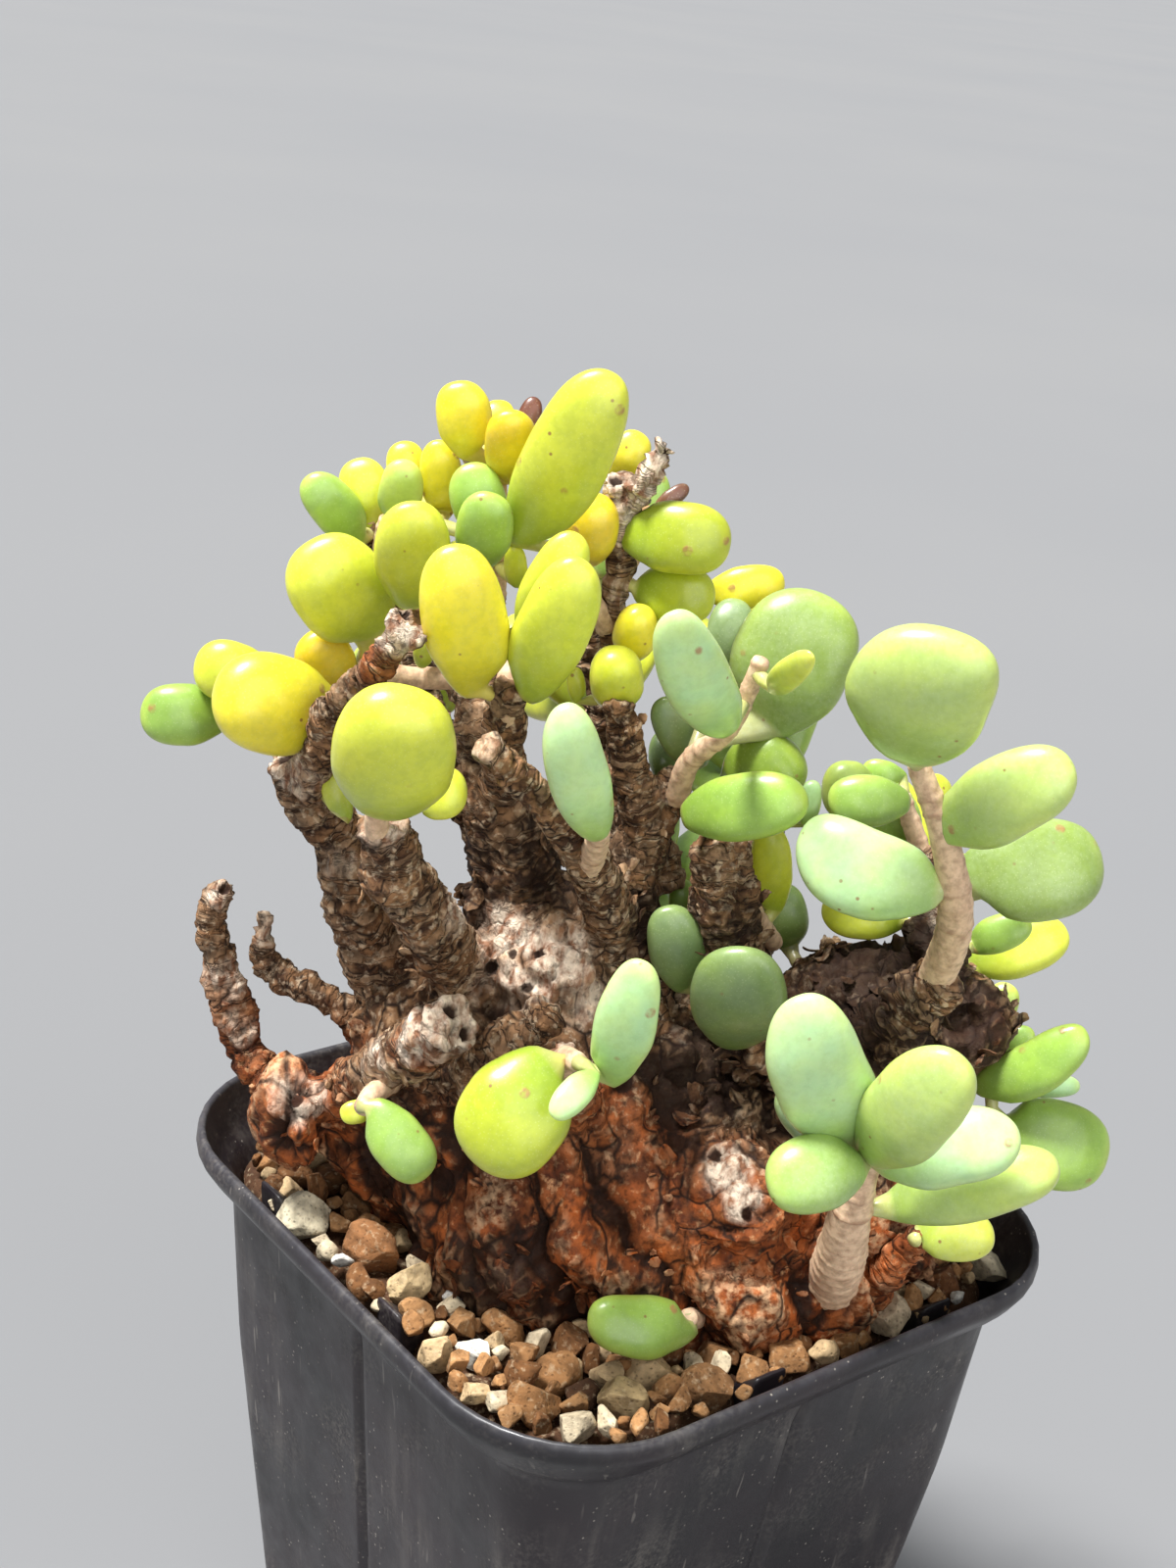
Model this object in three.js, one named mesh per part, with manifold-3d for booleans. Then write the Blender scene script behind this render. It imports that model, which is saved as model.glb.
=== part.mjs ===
// Potted Ceraria pygmaea: a knobbly swollen base with short limbs and plump leaves,
// planted in coarse grit in a small square plastic nursery pot.
//
// Millimetres, +Z up. The origin is the middle of the pot's base, and its sides face X and Y.
//
// Pot and soil are drawn from their own sizes. The plant is drawn from spots of a picture
// 1200 wide and 1600 high: spot(across, down, depth) is the point that the picture shows there,
// at a depth in millimetres behind the pot's axis, or before it where the depth is negative.
import * as THREE from 'three';
import { mergeVertices } from 'three/addons/utils/BufferGeometryUtils.js';
import Module from 'manifold-3d';

const wasm = await Module();
wasm.setup();

// Pot
const POT_HEIGHT = 80;
const RIM_HALF = 37.5; // half the width over the lip
const RIM_CORNER = 16.7; // corner radius of the lip
const WALL_INSET = 4.48; // how far the wall would stand inside the lip at the very top
const WALL_DRAFT = 0.104; // how much the wall closes in for each millimetre further down
const BASE_EDGE = { high: 1, rounding: 0.8 };
const LIP_DEPTH = 6.8; // the lip hangs down this far and meets the wall there
// The lip's outer and inner faces: drops below the rim, and insets from its widest line
const LIP_OUTSIDE = [
  { drop: 4.6, inset: 1.9 }, { drop: 1.9, inset: 0 }, { drop: 0.7, inset: 0.1 }, { drop: 0, inset: 0.5 },
];
const LIP_INSIDE = [{ drop: 5, inset: 3.6 }, { drop: 0.6, inset: 1.6 }, { drop: -1, inset: 1.2 }];
const INNER_WALL_TOP = 8; // drop at which the inner wall gives way to the lip
const CORNER_CLOSING = 1.57; // how much the corner radius shrinks for each millimetre of inset
const LEAST_CORNER = 5;
const WALL_THICKNESS = 1.3;
const POT_FLOOR = 2;
const CORNER_STEPS = 4;
// The inner ribs stand this far from a wall's middle. On every second wall they are mirrored.
const RIB_PLACES = [-5.7, 17.5];
const RIB_SIZE = { wide: 4.4, deep: 3.4, high: 9, below: 1.2, sunk: 1.3 };
const GROOVE = { top: 9, wideTop: 0.8, wideBottom: 3, deep: 0.8 };
const DRAIN_HOLE = { across: 7, offset: 14, sides: 10 };

// Soil and grit
const SOIL_DROP = 5.5; // from the rim down to the soil
const SOIL_TOP = POT_HEIGHT - SOIL_DROP;
const GRAIN_SPACING = 8.4;
const GRAIN_JITTER = 0.7; // how far a grain strays from its place, as a share of the spacing
const GRAIN_HALF = { least: 3.1, most: 4.6, narrowest: 0.75, flattest: 0.7, variety: 0.35 };
const GRAIN_RISE = { least: 0.3, most: 1.3 }; // how far the middle of a grain lies above the soil
const STONE_STRETCH = { least: 0.84, most: 1.16 }; // of each corner of a stone
const CLEARANCE = 0.3; // between pieces that touch
const SHORT_EDGE = 0.08; // shorter edges are left by cutting, and are drawn together
const FLAT_FACE = 0.02; // faces lower than this over their longest side are divided another way

// The foot of the swollen base, in its plain hole in the soil
const FOOT = { across: 26.5, deep: 19.5, down: 17, up: 1.5, narrow: 0.72, middle: { across: 2, depth: -1 } };

// Wood: how uneven it is, as a share of its radius, and how far the end of a branch bulges
const UNEVEN = { limb: 0.13, swelling: 0.07 };
const END_BULGE = 0.12;

// First numbers for the seeded chance of each kind of thing
const SEEDS = { swellings: 11, grains: 41, limbs: 101, stones: 301, backShoots: 701, grainShapes: 5001 };

// The picture that the plant's spots are read in
const PICTURE = { wide: 1200, high: 1600, focal: 2213 };
const CAMERA = { azimuth: -39.85, elevation: 22.39, roll: 6.77, distance: 235.67, right: -7.9, up: 41.43 };

const COLOURS = {
  pot: 0x2b2b30,
  soil: 0x7c5a3a,
  bark: 0x8a5a3e,
  pale: 0xa9c79a,
  green: 0x7fa548,
  lime: 0xa9c43c,
  yellow: 0xd0c04a,
  tanStone: 0xb09468,
  brownStone: 0x8a5c34,
  whiteStone: 0xd9d2c0,
};
const ROUGHNESS = { pot: 0.6, soil: 0.95, stone: 0.9, bark: 0.9, leaf: 0.55 };

// Directions of the camera, seen from the pot
const azimuth = THREE.MathUtils.degToRad(CAMERA.azimuth);
const elevation = THREE.MathUtils.degToRad(CAMERA.elevation);
const roll = THREE.MathUtils.degToRad(CAMERA.roll);
const UPWARD = new THREE.Vector3(0, 0, 1);
const AWAY = new THREE.Vector3(-Math.sin(azimuth), Math.cos(azimuth), 0);
const LEVEL_RIGHT = new THREE.Vector3(Math.cos(azimuth), Math.sin(azimuth), 0);
const BACK = AWAY.clone().multiplyScalar(-Math.cos(elevation)).addScaledVector(UPWARD, Math.sin(elevation));
const LEVEL_UP = BACK.clone().cross(LEVEL_RIGHT);
const VIEW_RIGHT = LEVEL_RIGHT.clone().multiplyScalar(Math.cos(roll))
  .addScaledVector(LEVEL_UP, Math.sin(roll));
const VIEW_UP = LEVEL_UP.clone().multiplyScalar(Math.cos(roll))
  .addScaledVector(LEVEL_RIGHT, -Math.sin(roll));
const EYE = new THREE.Vector3(0, 0, POT_HEIGHT)
  .addScaledVector(LEVEL_RIGHT, CAMERA.right)
  .addScaledVector(LEVEL_UP, CAMERA.up)
  .addScaledVector(BACK, CAMERA.distance);

function spot(across, down, depth) {
  const sight = BACK.clone().multiplyScalar(-PICTURE.focal)
    .addScaledVector(VIEW_RIGHT, across - PICTURE.wide / 2)
    .addScaledVector(VIEW_UP, PICTURE.high / 2 - down);
  const reach = (depth - EYE.dot(AWAY)) / sight.dot(AWAY);
  return EYE.clone().addScaledVector(sight, reach);
}

// The point that the picture shows there, at a height above the pot's base
function spotAtHeight(across, down, height) {
  const near = spot(across, down, 0);
  const sight = near.clone().sub(EYE);
  return near.addScaledVector(sight, (height - near.z) / sight.z);
}

function seededRandom(seed) {
  const factor = 16807;
  const range = 2147483647;
  let state = (seed * 7919 + 17) % range;
  const draw = () => {
    state = (state * factor) % range;
    return state / range;
  };
  draw();
  draw();
  return draw;
}

// Solids and meshes
function solidOf(geometry) {
  const bare = geometry.clone();
  bare.deleteAttribute('normal');
  bare.deleteAttribute('uv');
  const merged = mergeVertices(bare);
  return new wasm.Manifold(new wasm.Mesh({
    numProp: 3,
    vertProperties: new Float32Array(merged.attributes.position.array),
    triVerts: new Uint32Array(merged.index.array),
  }));
}

function joined(solids) {
  return solids.reduce((whole, solid) => whole.add(solid));
}

function facesOf(triangles) {
  return Array.from({ length: triangles.length / 3 }, (unused, index) => (
    [triangles[3 * index], triangles[3 * index + 1], triangles[3 * index + 2]]
  ));
}

function neighboursOf(faces) {
  const neighbours = new Map();
  faces.forEach((face) => face.forEach((corner) => {
    if (!neighbours.has(corner)) {
      neighbours.set(corner, new Set());
    }
    face.forEach((other) => neighbours.get(corner).add(other));
  }));
  return neighbours;
}

// Cutting can leave chips beside the piece. The piece is the body with the most faces.
function largestBody(faces) {
  const neighbours = neighboursOf(faces);
  const bodyOf = new Map();
  let best = { label: 0, size: 0 };
  neighbours.forEach((unused, start) => {
    if (bodyOf.has(start)) {
      return;
    }
    const waiting = [start];
    bodyOf.set(start, start);
    let size = 0;
    while (waiting.length > 0) {
      size += 1;
      neighbours.get(waiting.pop()).forEach((corner) => {
        if (!bodyOf.has(corner)) {
          bodyOf.set(corner, start);
          waiting.push(corner);
        }
      });
    }
    if (size > best.size) {
      best = { label: start, size };
    }
  });
  return faces.filter((face) => bodyOf.get(face[0]) === best.label);
}

// Cutting leaves needle-thin faces. An edge shorter than SHORT_EDGE is drawn together to one of its
// ends, where the two faces beside it are all that its ends share.
function withoutShortEdges(startFaces, place) {
  let faces = startFaces;
  let drawnTogether = 1;
  while (drawnTogether > 0) {
    const neighbours = neighboursOf(faces);
    const settled = new Set();
    const replacement = new Map();
    faces.forEach((face) => face.forEach((from, index) => {
      const to = face[(index + 1) % 3];
      if (settled.has(from) || settled.has(to) || place(from).distanceTo(place(to)) > SHORT_EDGE) {
        return;
      }
      const shared = [...neighbours.get(from)].filter((each) => neighbours.get(to).has(each));
      const sharedByEdgeAlone = 4; // the two ends themselves and one corner on each side
      if (shared.length === sharedByEdgeAlone) {
        replacement.set(from, to);
        [...neighbours.get(from), ...neighbours.get(to)].forEach((each) => settled.add(each));
      }
    }));
    drawnTogether = replacement.size;
    faces = faces
      .map((face) => face.map((corner) => (replacement.has(corner) ? replacement.get(corner) : corner)))
      .filter((face) => new Set(face).size === 3);
  }
  return faces;
}

// Where a face is flatter than FLAT_FACE, it and the face beyond its longest side are divided the
// other way.
function withoutFlatFaces(startFaces, place) {
  const faces = startFaces.map((face) => [...face]);
  const rounds = 6;
  for (let round = 0; round < rounds; round += 1) {
    const faceBeside = new Map();
    const settled = new Set();
    const note = (index) => faces[index].forEach((from, side) => {
      faceBeside.set(`${from} ${faces[index][(side + 1) % 3]}`, index);
    });
    faces.forEach((face, index) => note(index));
    faces.forEach((face, index) => {
      const lengths = face.map((from, side) => place(from).distanceTo(place(face[(side + 1) % 3])));
      const longest = lengths.indexOf(Math.max(...lengths));
      const [from, to, top] = [0, 1, 2].map((step) => face[(longest + step) % 3]);
      const area = new THREE.Triangle(place(from), place(to), place(top)).getArea();
      const beyond = faceBeside.get(`${to} ${from}`);
      const bottom = faces[beyond].find((corner) => corner !== from && corner !== to);
      const crossed = faceBeside.has(`${top} ${bottom}`) || faceBeside.has(`${bottom} ${top}`);
      if (2 * area > FLAT_FACE * lengths[longest] || crossed || settled.has(index) || settled.has(beyond)) {
        return;
      }
      faces[index] = [from, bottom, top];
      faces[beyond] = [bottom, to, top];
      [index, beyond].forEach((each) => {
        note(each);
        settled.add(each);
      });
    });
  }
  return faces;
}

function meshOf(name, solid, colour, roughness) {
  const surface = solid.getMesh();
  const place = (corner) => new THREE.Vector3().fromArray(surface.vertProperties, 3 * corner);
  const whole = withoutShortEdges(largestBody(facesOf(surface.triVerts)), place);
  const faces = withoutFlatFaces(whole, place);
  const points = faces.flatMap((face) => face.map(place));
  const geometry = mergeVertices(new THREE.BufferGeometry().setFromPoints(points));
  geometry.computeVertexNormals();
  const material = new THREE.MeshStandardMaterial({ color: colour, roughness, metalness: 0 });
  const mesh = new THREE.Mesh(geometry, material);
  mesh.name = name;
  return mesh;
}

// A closed body through rows of { centre, side, front }: side and front are the half-axes of the
// row's oval. The first and the last row are the points where the body closes.
function loft(rows, sides, rough = 0, random = null) {
  const geometry = new THREE.SphereGeometry(1, sides, rows.length - 1);
  const position = geometry.attributes.position;
  rows.forEach((row, index) => {
    const pole = index === 0 || index === rows.length - 1;
    const stretch = Array.from({ length: sides }, () => (rough ? 1 + rough * (2 * random() - 1) : 1));
    for (let step = 0; step <= sides; step += 1) {
      const angle = ((step % sides) / sides) * 2 * Math.PI;
      const reach = pole ? 0 : stretch[step % sides];
      const point = row.centre.clone()
        .addScaledVector(row.side, reach * Math.cos(angle))
        .addScaledVector(row.front, -reach * Math.sin(angle));
      position.setXYZ(index * (sides + 1) + step, point.x, point.y, point.z);
    }
  });
  return solidOf(geometry);
}

// A round branch along a path of spots, with its width at each of them. Its ends are cut flat.
function branch(path, widths, { sides, rough = 0, seed = 1, grow = 0 }) {
  const curve = new THREE.CatmullRomCurve3(path, false, 'centripetal');
  const steps = path.length - 1;
  const frames = curve.computeFrenetFrames(steps, false);
  const rows = [];
  path.forEach((point, step) => {
    const radius = widths[step] / 2 + grow;
    rows.push({
      centre: point,
      side: frames.normals[step].clone().multiplyScalar(radius),
      front: frames.binormals[step].clone().multiplyScalar(radius),
    });
  });
  const first = rows[0].centre.clone().addScaledVector(frames.tangents[0], -END_BULGE * widths[0] - grow);
  const last = rows[steps].centre.clone()
    .addScaledVector(frames.tangents[steps], END_BULGE * widths[steps] + grow);
  const nowhere = new THREE.Vector3();
  rows.unshift({ centre: first, side: nowhere, front: nowhere });
  rows.push({ centre: last, side: nowhere, front: nowhere });
  return loft(rows, sides, rough, seededRandom(seed));
}

// A rounded swelling: half sizes across the picture, along its depth, and upwards.
function swelling(centre, half, { seed, grow }) {
  const sides = 10;
  const bands = 4;
  const rows = [];
  for (let band = 0; band <= bands; band += 1) {
    const angle = (band / bands) * Math.PI;
    const ring = Math.sin(angle);
    rows.push({
      centre: centre.clone().addScaledVector(UPWARD, -Math.cos(angle) * (half.up + grow)),
      side: LEVEL_RIGHT.clone().multiplyScalar(ring * (half.across + grow)),
      front: AWAY.clone().multiplyScalar(ring * (half.deep + grow)),
    });
  }
  return loft(rows, sides, UNEVEN.swelling, seededRandom(seed));
}

// Pot: stacked rounded squares, each given by its height and how far it stands inside the lip
const SQUARE_SIDES = 4 * (CORNER_STEPS + 1);

function squarePoint(half, corner, index) {
  const quarter = Math.floor(index / (CORNER_STEPS + 1));
  const step = index % (CORNER_STEPS + 1);
  const turn = quarter * Math.PI / 2;
  const angle = turn + (step / CORNER_STEPS) * Math.PI / 2;
  const middle = half - corner;
  const centreAngle = turn + Math.PI / 4;
  return new THREE.Vector2(
    Math.SQRT2 * middle * Math.cos(centreAngle) + corner * Math.cos(angle),
    Math.SQRT2 * middle * Math.sin(centreAngle) + corner * Math.sin(angle),
  );
}

function squareStack(levels) {
  const geometry = new THREE.CylinderGeometry(1, 1, levels.length - 1, SQUARE_SIDES, levels.length - 1);
  const position = geometry.attributes.position;
  for (let index = 0; index < position.count; index += 1) {
    const level = levels[Math.round((levels.length - 1) / 2 + position.getY(index))];
    const onAxis = Math.hypot(position.getX(index), position.getZ(index)) < 0.5;
    const around = Math.atan2(position.getX(index), position.getZ(index)) / (2 * Math.PI);
    const column = (Math.round(around * SQUARE_SIDES) + SQUARE_SIDES) % SQUARE_SIDES;
    const corner = Math.max(RIM_CORNER - CORNER_CLOSING * Math.max(level.inset, 0), LEAST_CORNER);
    const point = onAxis ? new THREE.Vector2() : squarePoint(RIM_HALF - level.inset, corner, column);
    position.setXYZ(index, point.x, point.y, level.z);
  }
  return solidOf(geometry);
}

function wallInset(drop) {
  return WALL_INSET + WALL_DRAFT * drop;
}

function lipLevels(profile, extra) {
  return profile.map(({ drop, inset }) => ({ z: POT_HEIGHT - drop, inset: inset + extra }));
}

function potOutside() {
  return squareStack([
    { z: 0, inset: wallInset(POT_HEIGHT) + BASE_EDGE.rounding },
    { z: BASE_EDGE.high, inset: wallInset(POT_HEIGHT - BASE_EDGE.high) },
    { z: POT_HEIGHT - LIP_DEPTH, inset: wallInset(LIP_DEPTH) },
    ...lipLevels(LIP_OUTSIDE, 0),
  ]);
}

function potInside(extra) {
  return squareStack([
    { z: POT_FLOOR + extra, inset: wallInset(POT_HEIGHT - POT_FLOOR) + WALL_THICKNESS + extra },
    { z: POT_HEIGHT - INNER_WALL_TOP, inset: wallInset(INNER_WALL_TOP) + WALL_THICKNESS + extra },
    ...lipLevels(LIP_INSIDE, extra),
  ]);
}

// Things that repeat on the four walls: built on the wall facing -Y, then turned.
function onEachWall(make) {
  return [0, 1, 2, 3].map((quarter) => {
    const geometry = make(quarter);
    geometry.rotateZ(quarter * Math.PI / 2);
    return solidOf(geometry);
  });
}

function innerRib(offset, extra) {
  const { wide, deep, high, below } = RIB_SIZE;
  const geometry = new THREE.BoxGeometry(wide + 2 * extra, deep + 2 * extra, high + 2 * extra);
  const wallThere = RIM_HALF - wallInset(below + high / 2) - WALL_THICKNESS;
  geometry.translate(offset, -(wallThere - deep / 2 + RIB_SIZE.sunk), POT_HEIGHT - below - high / 2);
  return geometry;
}

function innerRibs(extra) {
  return joined(RIB_PLACES.flatMap((offset) => (
    onEachWall((quarter) => innerRib(quarter % 2 === 0 ? offset : -offset, extra))
  )));
}

// A shallow groove that widens on its way down the middle of a wall
function wallGroove() {
  const top = POT_HEIGHT - GROOVE.top;
  const bottom = -1; // a little past the pot's base
  const outline = new THREE.Shape([
    new THREE.Vector2(-GROOVE.wideTop / 2, top),
    new THREE.Vector2(-GROOVE.wideBottom / 2, bottom),
    new THREE.Vector2(GROOVE.wideBottom / 2, bottom),
    new THREE.Vector2(GROOVE.wideTop / 2, top),
  ]);
  const reach = 6; // out of the wall, to clear it at any slant
  const geometry = new THREE.ExtrudeGeometry(outline, { depth: reach, bevelEnabled: false });
  geometry.rotateX(Math.PI / 2);
  const topFace = RIM_HALF - wallInset(GROOVE.top);
  const slant = Math.atan(WALL_DRAFT);
  geometry.translate(0, 0, -top);
  geometry.rotateX(slant);
  geometry.translate(0, -topFace + GROOVE.deep, top);
  return geometry;
}

function drainHoles() {
  const radius = DRAIN_HOLE.across / 2;
  const { offset, sides } = DRAIN_HOLE;
  return joined([[1, 1], [-1, 1], [-1, -1], [1, -1]].map(([x, y]) => {
    const geometry = new THREE.CylinderGeometry(radius, radius, 4 * POT_FLOOR, sides);
    geometry.rotateX(Math.PI / 2);
    geometry.translate(x * offset, y * offset, 0);
    return solidOf(geometry);
  }));
}

function potSolid() {
  const shell = potOutside().subtract(potInside(0));
  const ribs = innerRibs(0).intersect(potOutside());
  return shell.add(ribs).subtract(joined(onEachWall(wallGroove))).subtract(drainHoles());
}

// Wood: limbs as paths of spots with their widths. Depths are behind the pot's axis.
const SWELLINGS = [
  { at: spot(650, 1185, -2), half: { across: 29, deep: 22, up: 17 } },
  { at: spot(560, 1105, -3), half: { across: 21, deep: 17, up: 17 } },
  { at: spot(860, 1175, -3), half: { across: 14.5, deep: 15, up: 14 } },
  { at: spot(425, 1140, -2), half: { across: 9.5, deep: 12, up: 9.5 } },
  { at: spot(300, 1140, -10), half: { across: 3.9, deep: 4.4, up: 5.2 } },
  { at: spot(880, 1035, -3), half: { across: 9.5, deep: 9, up: 6.5 } },
  { at: spot(752, 1290, -14), half: { across: 14, deep: 9.5, up: 9 } },
  { at: spot(540, 1270, -10), half: { across: 14, deep: 9.5, up: 8 } },
  { at: spot(555, 992, -10), half: { across: 3.4, deep: 3, up: 3.4 } },
  { at: spot(570, 985, -3), half: { across: 11, deep: 10, up: 10 } },
  { at: spot(440, 1050, -5), half: { across: 8, deep: 9, up: 8 } },
  { at: spot(700, 1120, 9), half: { across: 22, deep: 14, up: 14 } },
  { at: spot(978, 1036, -4), half: { across: 5.6, deep: 6, up: 4.4 } },
];

const LIMBS = [
  // Left limb with its dead end, and the curled dead branch before it
  { path: [spot(430, 1080, -3), spot(391, 970, -4), spot(365, 915, -5), spot(344, 850, -6),
    spot(293, 770, -8)],
    widths: [10, 7.8, 6.8, 5.9, 5.2] },
  { path: [spot(318, 805, -9), spot(345, 712, -17), spot(378, 682, -20), spot(408, 652, -22),
    spot(412, 618, -21)],
    widths: [4.4, 3.4, 3.2, 3.2, 2.8] },
  { path: [spot(400, 664, -21), spot(430, 655, -23), spot(442, 640, -21)], widths: [2.2, 1.6, 1], sides: 6 },
  // Blunt stub before the left limb
  { path: [spot(492, 1040, -3), spot(463, 978, -10), spot(431, 928, -18), spot(400, 880, -23),
    spot(386, 842, -25)], widths: [8, 6.8, 6.2, 6.4, 5.4] },
  // Middle trunk, its hidden way up to the crown on the left, and the cut stubs before it
  { path: [spot(545, 1030, -4), spot(528, 930, -3), spot(512, 840, -3), spot(495, 740, -1),
    spot(490, 690, 1)],
    widths: [13, 9.4, 7.6, 6.4, 5.2] },
  { path: [spot(492, 735, 1), spot(455, 660, 5), spot(395, 590, 6), spot(369, 520, 6)],
    widths: [4.6, 4, 3.4, 2.6] },
  { path: [spot(492, 730, 1), spot(500, 650, 3), spot(500, 560, 4), spot(476, 452, 4)],
    widths: [4.8, 3.8, 3, 1.5] },
  { path: [spot(618, 960, -5), spot(603, 885, -17), spot(555, 815, -25), spot(493, 758, -28)],
    widths: [6, 4.6, 3.6, 3.4] },
  { path: [spot(510, 800, -5), spot(515, 755, -14), spot(520, 700, -18)], widths: [4.8, 4, 3.6] },
  // Main cut stub at the crown
  { path: [spot(668, 905, -2), spot(655, 830, -1), spot(638, 750, 0), spot(628, 650, 1), spot(634, 560, 1),
    spot(630, 488, 0)], widths: [6, 4.4, 3.5, 3.1, 3.1, 3.4] },
  { path: [spot(636, 530, 1), spot(655, 495, -1), spot(680, 453, -1)], widths: [2.8, 2.7, 2.3], sides: 6 },
  // Right limb, the branches that rise from it, and the second stub
  { path: [spot(640, 1010, -5), spot(640, 890, -5), spot(668, 830, -5), spot(693, 790, -5)],
    widths: [10, 6.4, 4.6, 3.6] },
  { path: [spot(655, 870, -6), spot(645, 790, -7), spot(632, 715, -8)], widths: [4.4, 4, 3.2] },
  { path: [spot(775, 1060, -6), spot(750, 985, -8), spot(736, 920, -9), spot(728, 862, -10)],
    widths: [8.5, 6.4, 6, 5.6] },
  { path: [spot(745, 960, -8), spot(757, 905, -10), spot(752, 858, -11)], widths: [4, 3.2, 2.8] },
  // Hidden limbs towards the back
  { path: [spot(560, 1010, 6), spot(520, 900, 12), spot(450, 760, 14), spot(410, 620, 15)],
    widths: [9, 6, 4.6, 3.2] },
  { path: [spot(640, 1020, 8), spot(640, 900, 14), spot(620, 760, 17), spot(600, 610, 16)],
    widths: [9, 6, 4.4, 3] },
  { path: [spot(740, 1040, 8), spot(770, 920, 14), spot(780, 800, 17), spot(770, 720, 16)],
    widths: [8, 5.6, 4.2, 3] },
  // Dark mound on the right with its stem, and the low stems beyond it
  { path: [spot(885, 1065, -2), spot(944, 995, -5), spot(954, 935, -3), spot(944, 868, 2)],
    widths: [12, 6.6, 4.2, 3.2] },
  { path: [spot(830, 1110, -8), spot(905, 1050, -12), spot(966, 1000, -16)], widths: [9, 6.6, 4.2] },
  { path: [spot(900, 1110, -2), spot(965, 1075, 0), spot(1005, 1060, 0)], widths: [9, 5.4, 3.2] },
  // Dead twigs on the left
  { path: [spot(330, 1130, -2), spot(258, 1080, 0), spot(243, 1035, 1), spot(222, 980, 1), spot(216, 940, 1),
    spot(230, 905, 0)], widths: [6, 5, 4.9, 4.1, 3.8, 3] },
  { path: [spot(390, 1050, -2), spot(322, 1016, -2), spot(265, 978, -1), spot(271, 934, -1)],
    widths: [5.4, 4, 3.2, 1.6] },
  // Short thick branch that comes forward on the left, and the pale ridge above it
  { path: [spot(345, 1120, -8), spot(395, 1085, -17), spot(458, 1042, -25)], widths: [6.4, 5.6, 5] },
  { path: [spot(425, 1112, -14), spot(500, 1075, -18), spot(565, 1030, -17)], widths: [5.4, 5.2, 4.4] },
  // Pale head at the front, the orange twig and the scarred stump
  { path: [spot(590, 1130, -16), spot(580, 1100, -25), spot(574, 1076, -30)], widths: [5, 3.8, 3.2] },
  { path: [spot(880, 1318, -12), spot(908, 1292, -19), spot(938, 1258, -22)], widths: [5, 3.4, 2.2] },
  { path: [spot(762, 1235, -14), spot(756, 1222, -21), spot(750, 1212, -27)],
    widths: [11, 8.2, 6.2], sides: 9 },
];

const LIMB_SIDES = { thick: 7, thin: 5, thickFrom: 5.5 };

function limbSides(widths) {
  return widths[0] > LIMB_SIDES.thickFrom ? LIMB_SIDES.thick : LIMB_SIDES.thin;
}

function woodSolid(grow) {
  const swellings = SWELLINGS.map(({ at, half }, index) => (
    swelling(at, half, { seed: SEEDS.swellings + index, grow })
  ));
  const limbs = LIMBS.map(({ path, widths, sides = limbSides(widths) }, index) => (
    branch(path, widths, { sides, rough: UNEVEN.limb, seed: SEEDS.limbs + index, grow })
  ));
  return joined([...swellings, ...limbs]);
}

// The part of the swollen base that is in the soil, a plain oval plug
function footPlug(grow) {
  const middle = new THREE.Vector3()
    .addScaledVector(LEVEL_RIGHT, FOOT.middle.across)
    .addScaledVector(AWAY, FOOT.middle.depth);
  const bottom = SOIL_TOP - FOOT.down - grow;
  const levels = [
    { z: bottom, spread: 0 },
    { z: bottom, spread: FOOT.narrow },
    { z: SOIL_TOP - 2 * FOOT.up, spread: 1 },
    { z: SOIL_TOP + FOOT.up, spread: 1 },
    { z: SOIL_TOP + FOOT.up, spread: 0 },
  ];
  const rows = levels.map(({ z, spread }) => ({
    centre: middle.clone().setZ(z),
    side: LEVEL_RIGHT.clone().multiplyScalar(spread * (FOOT.across + grow)),
    front: AWAY.clone().multiplyScalar(spread * (FOOT.deep + grow)),
  }));
  const sides = 20;
  return loft(rows, sides);
}

function aboveSoil(margin) {
  const reach = 400;
  const geometry = new THREE.BoxGeometry(reach, reach, reach);
  geometry.translate(0, 0, SOIL_TOP + margin + reach / 2);
  return solidOf(geometry);
}

// Leaves: plump spoons. Along the leaf, where its outline stands and how wide it is there
const BROAD_LEAF = {
  outline: [{ along: 0.05, wide: 0.32 }, { along: 0.42, wide: 1 }, { along: 0.84, wide: 0.84 }],
  sides: 8,
};
const NARROW_LEAF = {
  outline: [{ along: 0.07, wide: 0.4 }, { along: 0.42, wide: 1 }, { along: 0.83, wide: 0.86 }],
  sides: 6,
};
const BROAD_FROM = 7.6; // leaves this wide are broad ones
const LEAST_THICKNESS = 1.2;
const ARCH = 0.06;
// The stalk's room is its width, or this share of a narrow leaf; its reach is a share of the length
const STALK = { room: 1.7, share: 0.45, sunk: 0.8, reach: 0.22, sides: 4 };

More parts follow.
